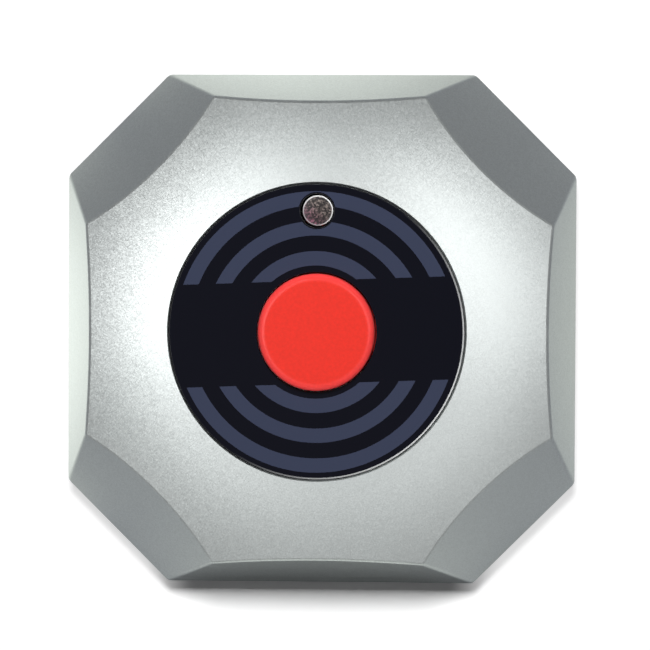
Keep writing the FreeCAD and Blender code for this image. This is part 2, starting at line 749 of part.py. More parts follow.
def make_face_disc():
    """The round panel, with a bevelled rim and holes for the button and the indicator."""
    body = new_body("face_disc")
    disc = new_sketch(body, "disc", PANEL_BOTTOM)
    draw_circle(disc, "0", "0", "dims.recess_radius - dims.panel_gap")
    draw_circle(disc, "0", "0", "dims.button_radius + dims.button_gap")
    draw_circle(disc, "0", LED_Y, "dims.led_hole_radius")
    pad(body, disc, "dims.panel_thickness")
    radius = number("dims.recess_radius - dims.panel_gap")
    bevel_edges(body, "rim", "dims.panel_chamfer",
                lambda edge: ring_edge(edge, radius, number(PANEL_TOP)))
    return body


def make_disc_adhesive():
    """The tape ring between the panel and the recess floor."""
    body = new_body("disc_adhesive")
    ring = new_sketch(body, "ring", RECESS_FLOOR)
    draw_circle(ring, "0", "0", "dims.recess_radius - 2 * dims.panel_gap")
    draw_circle(ring, "0", "0", "dims.adhesive_inner_radius")
    draw_circle(ring, "0", LED_Y, "dims.led_hole_radius + dims.panel_gap")
    pad(body, ring, "dims.adhesive_thickness")
    return body


def make_call_button():
    """The push cap: a cup with a stop flange, a stem and three notches for the guide pins."""
    body = new_body("call_button")
    profile = new_sketch(body, "profile", plane="XZ_Plane")
    inner = "(dims.button_radius - dims.button_wall)"
    ceiling = f"({BUTTON_TOP} - dims.button_top)"
    draw_polygon(profile, [
        ("0", STEM_BOTTOM), ("dims.stem_radius", STEM_BOTTOM), ("dims.stem_radius", ceiling),
        (inner, ceiling), (inner, FLANGE_BOTTOM), ("dims.button_flange_radius", FLANGE_BOTTOM),
        ("dims.button_flange_radius", FLANGE_TOP), ("dims.button_radius", FLANGE_TOP),
        ("dims.button_radius", BUTTON_TOP), ("0", BUTTON_TOP),
    ])
    revolve(body, profile)
    round_edges(body, "edge", "dims.button_edge_round",
                lambda edge: ring_edge(edge, number("dims.button_radius"), number(BUTTON_TOP)))
    notches = new_sketch(body, "notches", FLANGE_BOTTOM)
    for x, y in guide_pin_places():
        draw_circle(notches, x, y, "dims.guide_pin_radius + dims.guide_pin_clearance")
    pocket(body, notches, "dims.button_flange")
    return body


def make_coil(name, radius, wire, height, half_turns, shrink="0"):
    """A coil of wire rising from height 0, as half rings that lean to and fro.

    Each half ring climbs half a turn's pitch, starts and ends square to the XZ plane and so
    runs on into the next. Shrink is what the radius loses with every half ring. The wire is
    drawn with flat sides, which keeps the coil's faces few.
    """
    rings = []
    count = int(number(half_turns))
    climb = f"({height} / {half_turns})"
    for index in range(count):
        half_span = f"({radius} - {index + 0.5} * {shrink})"
        lean = f"atan({climb} / (2 * {half_span}))"
        section = doc.addObject("Part::RegularPolygon", f"{name}_section_{index + 1}")
        section.Polygon = COIL_WIRE_SIDES
        section.setExpression("Circumradius", wire)
        section.Placement.Rotation = Rotation(Vector(1, 0, 0), 90)
        section.setExpression("Placement.Base.x", f"{half_span} / cos({lean})")
        ring = doc.addObject("Part::Revolution", f"{name}_ring_{index + 1}")
        ring.Source = section
        ring.Axis = Vector(0, 0, 1)
        ring.Angle = 180
        ring.Solid = True
        turned = 180 * (index % 2)
        shift = f"{shrink} / 2 * {1 - 2 * (index % 2)}"
        ring.setExpression("Placement", (
            f"create(<<placement>>; create(<<vector>>; {shift}; 0; {climb} * {index + 0.5}); "
            f"create(<<rotation>>; {turned}; {lean}; 0))"))
        rings.append(ring)
    return fuse(name, rings)


def make_button_spring():
    start = f"({BOARD_TOP} + dims.spring_wire + dims.spring_seat)"
    height = f"({FLANGE_BOTTOM} - dims.spring_wire - dims.spring_seat - {start})"
    coil = make_coil("button_spring", "dims.spring_radius", "dims.spring_wire", height,
                     "dims.spring_half_turns")
    coil.setExpression("Placement.Base.z", start)
    return coil


# ---------------------------------------------------------------- tact switch

def make_switch_body():
    """The moulded switch base, with the well in which the plunger's flange runs."""
    block = box("switch_block", "0", "0", BOARD_TOP, "dims.switch_width", "dims.switch_width",
                "dims.switch_height")
    floor = f"({PLUNGER_BOTTOM} - dims.plunger_travel - dims.plunger_clearance)"
    well = cylinder("switch_well", "0", "0", floor,
                    "dims.plunger_flange_radius + dims.plunger_clearance",
                    f"{SWITCH_TOP} - {floor} + {OVERRUN}")
    return cut("switch_body", block, well)


def make_switch_cover():
    plate = box("switch_plate", "0", "0", SWITCH_TOP, "dims.switch_width", "dims.switch_width",
                "dims.switch_cover_thickness")
    hole = cylinder("switch_plate_hole", "0", "0", f"{SWITCH_TOP} - {OVERRUN}",
                    "dims.plunger_radius + dims.plunger_clearance",
                    f"dims.switch_cover_thickness + 2 * {OVERRUN}")
    return cut("switch_cover", plate, hole)


def make_switch_plunger():
    flange = cylinder("plunger_flange", "0", "0", PLUNGER_BOTTOM, "dims.plunger_flange_radius",
                      "dims.plunger_flange")
    pin = cylinder("plunger_pin", "0", "0", PLUNGER_BOTTOM, "dims.plunger_radius",
                   f"{PLUNGER_TOP} - {PLUNGER_BOTTOM}")
    return fuse("switch_plunger", [flange, pin])


def make_switch_legs():
    """Four gull-wing legs, each a foot on the board and a riser against the switch's side."""
    legs = []
    reach = "((dims.switch_leg_span - dims.switch_width) / 2)"
    for index, (sign_x, sign_y) in enumerate(FOUR_CORNERS):
        y = f"{sign_y} * dims.switch_leg_pitch / 2"
        foot = box(f"leg_foot_{index + 1}", f"{sign_x} * (dims.switch_width + {reach}) / 2", y,
                   BOARD_TOP, reach, "dims.switch_leg_width", "dims.switch_leg_thickness")
        riser = box(f"leg_riser_{index + 1}",
                    f"{sign_x} * (dims.switch_width + dims.switch_leg_thickness) / 2", y,
                    BOARD_TOP, "dims.switch_leg_thickness", "dims.switch_leg_width",
                    "dims.switch_height / 2")
        legs.append(fuse(f"leg_{index + 1}", [foot, riser]))
    return group("switch_legs", legs)


# ---------------------------------------------------------------- indicator

def make_indicator_led():
    """A round lamp: flange, barrel and a low crown inside a sloping rim."""
    body = new_body("indicator_led")
    profile = new_sketch(body, "profile", plane="XZ_Plane")
    flange_top = f"({LED_BOTTOM} + dims.led_flange)"
    rim_top = f"({LED_TOP} - dims.led_crown)"
    draw_polygon(profile, [
        ("0", LED_BOTTOM), ("dims.led_flange_radius", LED_BOTTOM),
        ("dims.led_flange_radius", flange_top), ("dims.led_radius", flange_top),
        ("dims.led_radius", f"{rim_top} - dims.led_rim_drop"),
        ("dims.led_radius - dims.led_rim", rim_top), ("0", LED_TOP),
    ])
    revolve(body, profile)
    body.setExpression("Placement.Base.y", LED_Y)
    return body


def lead_places():
    return [f"{sign} * dims.led_lead_pitch / 2" for sign in (-1, 1)]


def make_led_leads():
    """Two square wires from the lamp down through its spacer and the board."""
    bottom = "(dims.board_height - dims.led_lead_below)"
    leads = [box(f"led_lead_{index}", x, LED_Y, bottom, "dims.led_lead_width",
                 "dims.led_lead_width", f"{LED_BOTTOM} - {bottom}")
             for index, x in enumerate(lead_places())]
    return group("led_leads", leads)


def make_led_spacer():
    tube = cylinder("spacer_block", "0", LED_Y, BOARD_TOP, "dims.led_flange_radius",
                    f"{LED_BOTTOM} - {BOARD_TOP}")
    width = "(dims.led_lead_width + 2 * dims.lead_clearance)"
    slots = [box(f"spacer_slot_{index}", x, LED_Y, f"{BOARD_TOP} - {OVERRUN}", width, width,
                 f"{LED_BOTTOM} - {BOARD_TOP} + 2 * {OVERRUN}")
             for index, x in enumerate(lead_places())]
    return cut("led_spacer", tube, fuse("spacer_slots", slots))


# ---------------------------------------------------------------- circuit board

def make_circuit_board():
    body = new_body("circuit_board")
    outline = new_sketch(body, "outline", "dims.board_height")
    draw_rectangle(outline, f"-{BOARD_SIDE}", BOARD_SIDE, "dims.board_front", BOARD_BACK)
    pad(body, outline, "dims.board_thickness")
    holes = new_sketch(body, "holes", "dims.board_height")
    for x, y in board_screw_places():
        draw_circle(holes, x, y, "dims.board_screw_radius + dims.lead_clearance")
    for x in lead_places():
        draw_circle(holes, x, LED_Y, "dims.led_lead_width / 2 * sqrt(2) + dims.lead_clearance")
    pocket(body, holes, "dims.board_thickness")
    return body


def make_encoder_chip():
    return box("encoder_chip", CHIP_X, CHIP_Y, f"{BOARD_TOP} + dims.chip_standoff",
               "dims.chip_length", "dims.chip_width", "dims.chip_height")


def make_chip_leads():
    """A row of gull-wing leads along each long side of the chip."""
    leads = []
    for side in (-1, 1):
        for index in range(CHIP_LEADS_PER_SIDE):
            name = f"chip_lead_{'b' if side > 0 else 'f'}{index + 1}"
            steps = index - (CHIP_LEADS_PER_SIDE - 1) / 2
            x = f"{CHIP_X} + {steps} * dims.chip_lead_pitch"
            foot = box(f"{name}_foot", x,
                       f"{CHIP_Y} + {side} * (dims.chip_width + dims.chip_lead_reach) / 2",
                       BOARD_TOP, "dims.chip_lead_width", "dims.chip_lead_reach",
                       "dims.chip_lead_thickness")
            riser = box(f"{name}_riser", x,
                        f"{CHIP_Y} + {side} * (dims.chip_width + dims.chip_lead_thickness) / 2",
                        BOARD_TOP, "dims.chip_lead_width", "dims.chip_lead_thickness",
                        "dims.chip_standoff + dims.chip_height / 2")
            leads.append(fuse(name, [foot, riser]))
    return group("chip_leads", leads)


def make_saw_resonator():
    """A round metal can on a thin flange."""
    flange = cylinder("resonator_rim", RESONATOR_X, RESONATOR_Y, BOARD_TOP,
                      "dims.resonator_flange_radius", "dims.resonator_flange")
    can = cylinder("resonator_can", RESONATOR_X, RESONATOR_Y, BOARD_TOP,
                   "dims.resonator_radius", "dims.resonator_height")
    return fuse("saw_resonator", [flange, can])


def make_capacitor():
    """A surface-mount electrolytic can on its square foot, as tall as the cover leaves room."""
    foot = box("capacitor_base", CAPACITOR_X, CAPACITOR_Y, BOARD_TOP, "dims.capacitor_foot_width",
               "dims.capacitor_foot_width", "dims.capacitor_foot")
    can = cylinder("capacitor_can", CAPACITOR_X, CAPACITOR_Y, BOARD_TOP, "dims.capacitor_radius",
                   f"{CAPACITOR_TOP} - {BOARD_TOP}")
    return fuse("electrolytic_capacitor", [foot, can])


def make_transistor():
    """A small three-legged transistor."""
    block = box("transistor_block", TRANSISTOR_X, TRANSISTOR_Y, BOARD_TOP,
                "dims.transistor_length", "dims.transistor_width", "dims.transistor_height")
    aside = "(dims.transistor_width + dims.transistor_leg_reach) / 2"
    legs = [box(f"transistor_leg_{index}",
                f"{TRANSISTOR_X} + {offset} * dims.transistor_leg_pitch",
                f"{TRANSISTOR_Y} + {side} * {aside}", BOARD_TOP, "dims.transistor_leg_width",
                "dims.transistor_leg_reach", "dims.transistor_leg_thickness")
            for index, (offset, side) in enumerate([(-1, -1), (1, -1), (0, 1)])]
    return fuse("rf_transistor", [block] + legs)


def make_small_parts(name, sign_x, count):
    """A row of small surface-mount parts along one side of the board."""
    parts = [box(f"{name}_{index + 1}", f"{sign_x} * {SMALL_PART_X}",
                 f"{SMALL_PART_Y} + {index} * dims.small_part_pitch", BOARD_TOP,
                 "dims.small_part_length", "dims.small_part_width", "dims.small_part_height")
             for index in range(count)]
    return group(name, parts)


def make_antenna_coil():
    """A wire coil lying along X behind the lamp, with a leg down to the board at each end."""
    coil = make_coil("antenna_turns", "dims.antenna_radius", "dims.antenna_wire",
                     "dims.antenna_length", "dims.antenna_half_turns")
    coil.Placement.Rotation = Rotation(Vector(0, 1, 0), 90)
    axis_height = f"({BOARD_TOP} + dims.antenna_lift + dims.antenna_radius)"
    coil.setExpression("Placement.Base.x", "-dims.antenna_length / 2")
    coil.setExpression("Placement.Base.y", ANTENNA_Y)
    coil.setExpression("Placement.Base.z", axis_height)
    legs = [cylinder(f"antenna_leg_{index}", f"{sign} * dims.antenna_length / 2",
                     ANTENNA_Y, BOARD_TOP, "dims.antenna_wire", "dims.antenna_lift")
            for index, sign in enumerate((-1, 1))]
    return fuse("antenna_coil", [coil] + legs)


# ---------------------------------------------------------------- battery

def make_battery():
    """A 12 V cell lying along X, its positive nub towards +X."""
    body = new_body("battery")
    profile = new_sketch(body, "profile", plane="XZ_Plane")
    shoulder = "(dims.battery_length - dims.battery_nub)"
    draw_polygon(profile, [
        ("0", "0"), ("dims.battery_radius", "0"), ("dims.battery_radius", shoulder),
        ("dims.battery_nub_radius", shoulder), ("dims.battery_nub_radius", "dims.battery_length"),
        ("0", "dims.battery_length"),
    ])
    revolve(body, profile)
    radius = number("dims.battery_radius")
    bevel_edges(body, "ends", "dims.battery_nub / 2",
                lambda edge: ring_edge(edge, radius, 0) or ring_edge(edge, radius, number(shoulder)))
    body.Placement.Rotation = Rotation(Vector(0, 1, 0), 90)
    body.setExpression("Placement.Base.x", "dims.battery_x - dims.battery_length / 2")
    body.setExpression("Placement.Base.y", "dims.battery_y")
    body.setExpression("Placement.Base.z", BATTERY_AXIS)
    return body


def contact_sheet(name, sign):
    """A contact's blade beside the end wall, and its tab that runs over to the board."""
    blade_bottom = f"({DOOR_TOP} + dims.battery_lift + dims.contact_floor_gap)"
    x = f"{sign} * ({CONTACT_OFFSET} + dims.contact_thickness / 2)"
    blade = box(f"{name}_blade", x, "dims.battery_y", blade_bottom, "dims.contact_thickness",
                "dims.contact_width",
                f"{BOARD_TOP} + dims.contact_thickness - {blade_bottom}")
    tab_start = "(dims.battery_y + dims.contact_width / 2 - dims.contact_tab_width)"
    tab_end = "(dims.board_front + dims.contact_tab_reach)"
    tab = box(f"{name}_tab",
              f"{sign} * ({CONTACT_OFFSET} + dims.contact_thickness - dims.contact_tab_width / 2)",
              f"({tab_start} + {tab_end}) / 2", BOARD_TOP, "dims.contact_tab_width",
              f"({tab_end} - {tab_start})", "dims.contact_thickness")
    return [blade, tab]


def make_negative_contact():
    """Blade, tab and the tapered coil that pushes on the battery's flat end."""
    start = f"(dims.contact_coil_wire - dims.contact_coil_sink - {CONTACT_OFFSET})"
    end = "(dims.battery_x - dims.battery_length / 2 - dims.contact_coil_wire - dims.spring_seat)"
    coil = make_coil("contact_coil", "dims.contact_coil_radius", "dims.contact_coil_wire",
                     f"({end} - {start})", "dims.contact_coil_half_turns",
                     "dims.contact_coil_shrink")
    coil.Placement.Rotation = Rotation(Vector(0, 1, 0), 90)
    coil.setExpression("Placement.Base.x", start)
    coil.setExpression("Placement.Base.y", "dims.battery_y")
    coil.setExpression("Placement.Base.z", BATTERY_AXIS)
    return fuse("negative_contact", contact_sheet("negative", -1) + [coil])


def make_positive_contact():
    """Blade, tab and the round pip that meets the battery's nub."""
    pip = doc.addObject("Part::Cone", "positive_pip")
    pip.setExpression("Radius1", "dims.battery_nub_radius")
    pip.setExpression("Radius2", "dims.contact_pip_radius")
    pip.setExpression("Height",
                      f"{CONTACT_OFFSET} - dims.battery_x - dims.battery_length / 2")
    pip.Placement.Rotation = Rotation(Vector(0, 1, 0), -90)
    pip.setExpression("Placement.Base.x", CONTACT_OFFSET)
    pip.setExpression("Placement.Base.y", "dims.battery_y")
    pip.setExpression("Placement.Base.z", BATTERY_AXIS)
    return fuse("positive_contact", contact_sheet("positive", 1) + [pip])


# ---------------------------------------------------------------- screws

def make_case_screws():
    """Four screws, driven upwards from the underside into the cover's bosses."""
    screws = []
    for index, (sign_x, sign_y) in enumerate(FOUR_CORNERS):
        x = f"{sign_x} * dims.case_screw_offset"
        y = f"{sign_y} * dims.case_screw_offset"
        head = cylinder(f"case_screw_head_{index + 1}", x, y,
                        f"{HEAD_FLOOR} - dims.case_screw_head", "dims.case_screw_head_radius",
                        "dims.case_screw_head")
        shank = cylinder(f"case_screw_shank_{index + 1}", x, y,
                         f"{HEAD_FLOOR} - dims.case_screw_head", "dims.case_screw_radius",
                         "dims.case_screw_head + dims.case_screw_length")
        screws.append(fuse(f"case_screw_{index + 1}", [head, shank]))
    return group("case_screws", screws)


def make_board_screws():
    """Four screws, driven down through the board into the base's posts."""
    screws = []
    for index, (x, y) in enumerate(board_screw_places()):
        head = cylinder(f"board_screw_head_{index + 1}", x, y, BOARD_TOP,
                        "dims.board_screw_head_radius", "dims.board_screw_head")
        shank = cylinder(f"board_screw_shank_{index + 1}", x, y,
                         f"{BOARD_TOP} - dims.board_screw_length", "dims.board_screw_radius",
                         "dims.board_screw_length + dims.board_screw_head")
        screws.append(fuse(f"board_screw_{index + 1}", [head, shank]))
    return group("board_screws", screws)


def main():
    """Builds every sub-part, checks each one and writes its file."""
    sub_parts = [
        make_top_cover(),
        make_base_cover(),
        make_battery_door(),
        make_rubber_feet(),
        make_face_disc(),
        make_disc_adhesive(),
        make_call_button(),
        make_button_spring(),
        make_switch_body(),
        make_switch_cover(),
        make_switch_plunger(),
        make_switch_legs(),
        make_indicator_led(),
        make_led_leads(),
        make_led_spacer(),
        make_circuit_board(),
        make_encoder_chip(),
        make_chip_leads(),
        make_saw_resonator(),
        make_capacitor(),
        make_transistor(),
        make_small_parts("chip_resistors", -1, RESISTORS),
        make_small_parts("chip_capacitors", 1, CHIP_CAPACITORS),
        make_antenna_coil(),
        make_battery(),
        make_negative_contact(),
        make_positive_contact(),
        make_case_screws(),
        make_board_screws(),
    ]
    doc.recompute()
    for item in doc.Objects:
        if "Invalid" in item.State or "Error" in item.State:
            raise RuntimeError(f"{item.Label} did not compute")
    for part in sub_parts:
        if part.Shape.isNull() or not part.Shape.isValid():
            raise RuntimeError(f"{part.Label} has no valid shape")
    os.makedirs("parts", exist_ok=True)
    for part in sub_parts:
        part.Shape.exportStep(f"parts/{part.Label}.step")
        print(f"{part.Label}: {len(part.Shape.Solids)} solids, {part.Shape.Volume:.1f} mm3")


main()
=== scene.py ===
"""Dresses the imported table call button: painted case, printed panel, push cap, lamp and works.

Everything is in metres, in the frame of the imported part: +Z up, +Y towards the indicator lamp.
"""

import math

import bmesh
import bpy
from mathutils import Matrix, Vector


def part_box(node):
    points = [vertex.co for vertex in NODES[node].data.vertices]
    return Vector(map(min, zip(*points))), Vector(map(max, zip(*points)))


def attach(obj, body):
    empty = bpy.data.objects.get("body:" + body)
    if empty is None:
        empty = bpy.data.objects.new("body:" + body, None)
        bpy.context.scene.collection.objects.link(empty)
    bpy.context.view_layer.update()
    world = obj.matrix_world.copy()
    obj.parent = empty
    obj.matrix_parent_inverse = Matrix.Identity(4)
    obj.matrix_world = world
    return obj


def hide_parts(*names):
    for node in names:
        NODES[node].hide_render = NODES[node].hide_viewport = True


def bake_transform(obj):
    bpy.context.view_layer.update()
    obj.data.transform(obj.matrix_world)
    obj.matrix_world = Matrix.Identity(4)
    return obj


bl_info = {
    "name": "Table call button",
    "version": (1, 0, 0),
    "blender": (4, 5, 0),
    "location": "3D View > Sidebar > Call button",
    "description": "Builds the looks of a table call button round its packed frame",
    "category": "Object",
}

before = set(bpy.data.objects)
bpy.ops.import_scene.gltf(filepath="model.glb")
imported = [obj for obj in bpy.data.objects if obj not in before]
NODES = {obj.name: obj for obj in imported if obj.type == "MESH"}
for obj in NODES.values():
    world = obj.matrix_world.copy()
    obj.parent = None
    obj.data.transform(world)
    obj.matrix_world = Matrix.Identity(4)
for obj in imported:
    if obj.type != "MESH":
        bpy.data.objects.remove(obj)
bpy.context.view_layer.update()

MM = 0.001
MICRON = 0.000001
CAP_RADIUS = 9.5 * MM
CAP_HOLE_RADIUS = 9.75 * MM
LAMP_HOLE_RADIUS = 2.8 * MM
LENS_RADIUS = 2.48 * MM
# the side where the panel's rim gets its painted highlight (the near right), the near left, where the
# lamp's bright ring is painted darker as shade, and the colour of tin
HIGHLIGHT_SIDE = (0.82, -0.57, 0.0)
NEAR_LEFT = (-0.7, -0.7, 0.0)
TIN = (0.72, 0.71, 0.69)


def centre_of(name):
    """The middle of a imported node's box."""
    low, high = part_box(name)
    return (low + high) / 2


def radius_of(name):
    """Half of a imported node's width along X."""
    low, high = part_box(name)
    return (high.x - low.x) / 2


# ---- settings

def setting(kind, **options):
    """A maker of one kind of setting, from a name, a description and a first value."""
    def make(name, text, value, **more):
        return kind(name=name, description=text, default=value, **{**options, **more})
    return make


length = setting(bpy.props.FloatProperty, subtype="DISTANCE", unit="LENGTH", precision=5)
location = setting(bpy.props.FloatVectorProperty, subtype="XYZ", unit="LENGTH", precision=5)
angle = setting(bpy.props.FloatProperty, subtype="ANGLE", unit="ROTATION")
amount = setting(bpy.props.FloatProperty, min=0.0, max=1.0)
colour = setting(bpy.props.FloatVectorProperty, subtype="COLOR", min=0.0, max=1.0)


class CaseLook(bpy.types.PropertyGroup):
    """Paint and plastic of the case."""

    paint: colour("Silver paint", "Colour of the metallic paint", (0.568, 0.60, 0.594))
    paint_roughness: amount("Paint roughness", "How soft the paint's reflections are", 0.37)
    flake_size: length("Flake size", "Width of one flake in the paint", 0.17 * MM)
    flake_tilt: amount("Flake tilt", "How far the flakes lean out of the surface", 0.07)
    flake_shade: amount("Flake shade", "How much the flakes differ in brightness", 0.14)
    shell: colour("Base plastic", "Colour of the base and the battery door", (0.022, 0.023, 0.026))
    shell_grain: length("Base grain", "Width of the moulded texture", 0.35 * MM)
    rubber: colour("Rubber", "Colour of the feet", (0.014, 0.014, 0.015))


class PanelLook(bpy.types.PropertyGroup):
    """The round panel and its print."""

    black: colour("Panel black", "Colour of the panel", (0.0045, 0.0048, 0.0095))
    print_colour: colour("Print", "Colour of the printed arcs", (0.043, 0.052, 0.092))
    polish: amount("Polish", "Roughness of the glossy panel", 0.06)
    print_turn: angle("Print turn", "How far the print is turned on the panel",
                      math.radians(2.15))
    print_shift: length("Print shift", "How far the print sits off centre", 0.15 * MM)
    arc_inner: length("First arc", "Inner radius of the smallest arc", 10.8 * MM)
    arc_width: length("Arc width", "Width of a printed arc", 2.37 * MM)
    arc_pitch: length("Arc pitch", "Distance from one arc to the next", 4.85 * MM)
    band: length("Plain band", "Half height of the band without print", 8.35 * MM)
    lamp_margin: length("Lamp margin", "Radius kept free of print round the lamp", 3.02 * MM)
    grown: length("Growth", "How much wider the panel is shown than it is packed", 0.16 * MM)
    edge: length("Rim round", "Radius of the polished rim", 0.05 * MM)
    # painted highlight: a pale colour painted on the panel's rim, strongest at the near right, standing
    # for the lit case seen through a clear edge
    clear: colour("Clear rim", "Colour where the case shines through the rim", (0.66, 0.67, 0.67))
    clear_width: length("Clear rim width", "Width of the unpainted rim", 0.24 * MM)
    clear_blur: length("Clear rim blur", "Half the width over which the black fades", 0.04 * MM)


class ButtonLook(bpy.types.PropertyGroup):
    """The push cap and the indicator lamp."""

    red: colour("Cap red", "Colour of the push cap", (0.80, 0.032, 0.019))
    # painted sheen: the cap's bevel is painted paler, standing for light on its edge
    red_edge: colour("Cap edge", "Paler red towards the cap's edge", (0.96, 0.056, 0.052))
    red_roughness: amount("Cap roughness", "How soft the cap's reflections are", 0.40)
    lamp_dark: colour("Lamp dark", "Darker flecks seen through the lens", (0.006, 0.004, 0.005))
    lamp_light: colour("Lamp light", "Lighter flecks seen through the lens", (0.27, 0.22, 0.20))
    lamp_blush: colour("Lamp blush", "Lighter flecks at the near left", (0.27, 0.10, 0.15))
    fleck_size: length("Fleck size", "Width of one fleck", 0.26 * MM)
    # painted highlight: a bright ring painted round the lens, painted darker at the near left as shade
    lamp_rim: colour("Lamp rim", "Bright ring round the lens", (0.92, 0.92, 0.92))
    lamp_rim_dim: colour("Lamp rim dim", "The same ring at the near left", (0.42, 0.38, 0.40))
    lamp_rim_width: length("Lamp rim width", "Width of the bright ring", 0.20 * MM)
    lamp_rim_blur: length("Lamp rim blur", "Half the width of the ring's fading", 0.08 * MM)
    lamp_shift: length("Lamp shift", "How far the lens sits off the middle of its hole", 0.15 * MM)
    lamp_rim_drop: length("Lamp rim drop", "Fall of the lens towards its side", 0.2 * MM)
    lamp_crown: length("Lamp crown", "Height of the lens's low crown", 0.14 * MM)


class WorksLook(bpy.types.PropertyGroup):
    """Screws, springs, board and cell."""

    thread_pitch: length("Thread pitch", "Rise of a screw thread in one turn", 0.9 * MM)
    spring_turns: amount("Spring turns", "Turns of the spring under the push cap", 3.5, max=20.0)
    mask_green: colour("Solder mask", "Colour of the circuit board", (0.012, 0.13, 0.045))
    laminate: colour("Laminate", "Bare edge of the circuit board", (0.36, 0.31, 0.17))
    trace_green: colour("Traces", "Colour of the tracks under the mask", (0.03, 0.25, 0.09))
    jacket: colour("Cell jacket", "Bright end of the battery's sleeve", (0.52, 0.32, 0.05))
    jacket_dark: colour("Cell jacket dark", "Dark end of the battery's sleeve", (0.02, 0.02, 0.022))
    sleeve: colour("Capacitor sleeve", "Colour of the capacitor's sleeve", (0.012, 0.02, 0.06))
    antenna_turns: amount("Antenna turns", "Turns of the antenna coil", 9.5, max=40.0)


class StudioSetup(bpy.types.PropertyGroup):
    """Floor, lamps and camera."""

    light_level: amount("Light level", "Strength of all lamps together", 1.0, max=10.0)
    sky: amount("Sky", "Strength of the light from all round", 0.93, max=10.0)
    front_fill: amount("Front fill", "Soft light from all round", 0.015, max=10.0)
    back_fill: amount("Back fill", "More soft light from behind", 0.14, max=10.0)
    floor_gain: amount("Floor white", "Brightness of the floor's white to the camera", 1.3,
                       max=4.0)
    camera_at: location("Camera", "Place of the camera", (24.32 * MM, 16.10 * MM, 520.88 * MM))
    aim_at: location("Aim", "Point that the camera looks at", (0.895 * MM, 0.843 * MM, 10.0 * MM))
    roll: angle("Camera roll", "Turn of the camera about its own axis", math.radians(0.264))
    lens: amount("Lens", "Focal length in millimetres for a 36 mm wide picture", 171.05,
                 min=10.0, max=500.0)


LOOKS = {
    "call_case": CaseLook,
    "call_panel": PanelLook,
    "call_cap": ButtonLook,
    "call_works": WorksLook,
    "call_studio": StudioSetup,
}


# ---- node helpers

NUMBER = "NodeSocketFloat"


def arithmetic(operation, swapped=False):
    """A method of Value that places a math node."""
    def method(self, other):
        return maths(operation, other, self) if swapped else maths(operation, self, other)
    return method


class Value:
    """An output of a node. Plain arithmetic and comparisons with it place math nodes."""

    __add__ = arithmetic("ADD")
    __sub__ = arithmetic("SUBTRACT")
    __rsub__ = arithmetic("SUBTRACT", True)
    __mul__ = arithmetic("MULTIPLY")
    __truediv__ = arithmetic("DIVIDE")
    __rtruediv__ = arithmetic("DIVIDE", True)
    __pow__ = arithmetic("POWER")
    __gt__ = arithmetic("GREATER_THAN")
    __lt__ = arithmetic("LESS_THAN")

    def __init__(self, socket):
        self.socket = socket

    def __abs__(self):
        return maths("ABSOLUTE", self)


def node(tree, kind, settings=None, inputs=None):
    """Adds a node. Inputs are plain values, or Values to link from."""
    made = tree.nodes.new(kind)
    for name, value in (settings or {}).items():
        setattr(made, name, value)
    for key, value in (inputs or {}).items():
        if isinstance(value, Value):
            tree.links.new(value.socket, made.inputs[key])
        else:
            made.inputs[key].default_value = value
    return made


def named(made):
    """A node's outputs by name."""
    return {socket.name: Value(socket) for socket in made.outputs}


def result(kind, inputs, settings=None, output=0, tree=None):
    """An output of a new node, in the tree given or else the one that its inputs come from."""
    if tree is None:
        tree = next(value.socket.id_data for value in inputs.values() if isinstance(value, Value))
    return Value(node(tree, kind, settings, inputs).outputs[output])


def maths(operation, *values):
    """The result of a math node on numbers."""
    return result("ShaderNodeMath", dict(enumerate(values)), {"operation": operation})


def clamped(value):
    """A number kept between 0 and 1."""
    return result("ShaderNodeClamp", {"Value": value})


def faded(value, ends, levels=(0.0, 1.0), kind="SMOOTHSTEP"):
    """Goes from one level to the other while a value goes from one end to the other."""
    return result("ShaderNodeMapRange", {
        "Value": value, "From Min": ends[0], "From Max": ends[1],
        "To Min": levels[0], "To Max": levels[1]}, {"interpolation_type": kind})


def between(mask, first, second):
    """A number between two others, by a mask."""
    return result("ShaderNodeMix", {0: mask, 2: first, 3: second}, {"data_type": "FLOAT"})


def blend(mask, first, second):
    """A colour between two others, by a mask."""
    first, second = (tint if isinstance(tint, Value) else (*tint, 1.0) for tint in (first, second))
    return result("ShaderNodeMix", {0: mask, 6: first, 7: second}, {"data_type": "RGBA"}, 2)


def vectors(operation, *values):
    """The result of a vector math node, which is a number for a length or a dot product."""
    return result("ShaderNodeVectorMath", dict(enumerate(values)), {"operation": operation},
                  "Value" if operation in ("LENGTH", "DOT_PRODUCT") else "Vector")


def scaled(vector, factor):
    """A vector or colour times a number."""
    return result("ShaderNodeVectorMath", {0: vector, "Scale": factor}, {"operation": "SCALE"})


def xyz(x=0.0, y=0.0, z=0.0):
    """A vector, by a node where one of its numbers is a Value."""
    if any(isinstance(number, Value) for number in (x, y, z)):
        return result("ShaderNodeCombineXYZ", {0: x, 1: y, 2: z})
    return (x, y, z)


def axes_of(vector):
    """The X, Y and Z of a vector."""
    return [Value(axis) for axis in result("ShaderNodeSeparateXYZ", {0: vector}).socket.node.outputs]


def red_of(tint):
    """The red part of a colour, where a random colour has to give a random number."""
    return result("ShaderNodeSeparateColor", {"Color": tint}, output="Red")


def place(tree):
    """Object coordinates of the point being shaded."""
    return result("ShaderNodeTexCoord", {}, output="Object", tree=tree)


def noise(vector, size, detail, roughness=0.5):
    """A smooth random number whose patches have about the given size."""
    return result("ShaderNodeTexNoise", {
        "Vector": vector, "Scale": 1 / size, "Detail": detail, "Roughness": roughness}, output="Fac")


def cells(vector, size, output="Color", distance="EUCLIDEAN", randomness=1.0):
    """A random colour for each cell of about the given size, or the distance from its middle."""
    return result("ShaderNodeTexVoronoi",
                  {"Vector": vector, "Scale": 1 / size, "Randomness": randomness},
                  {"feature": "F1", "distance": distance}, output)


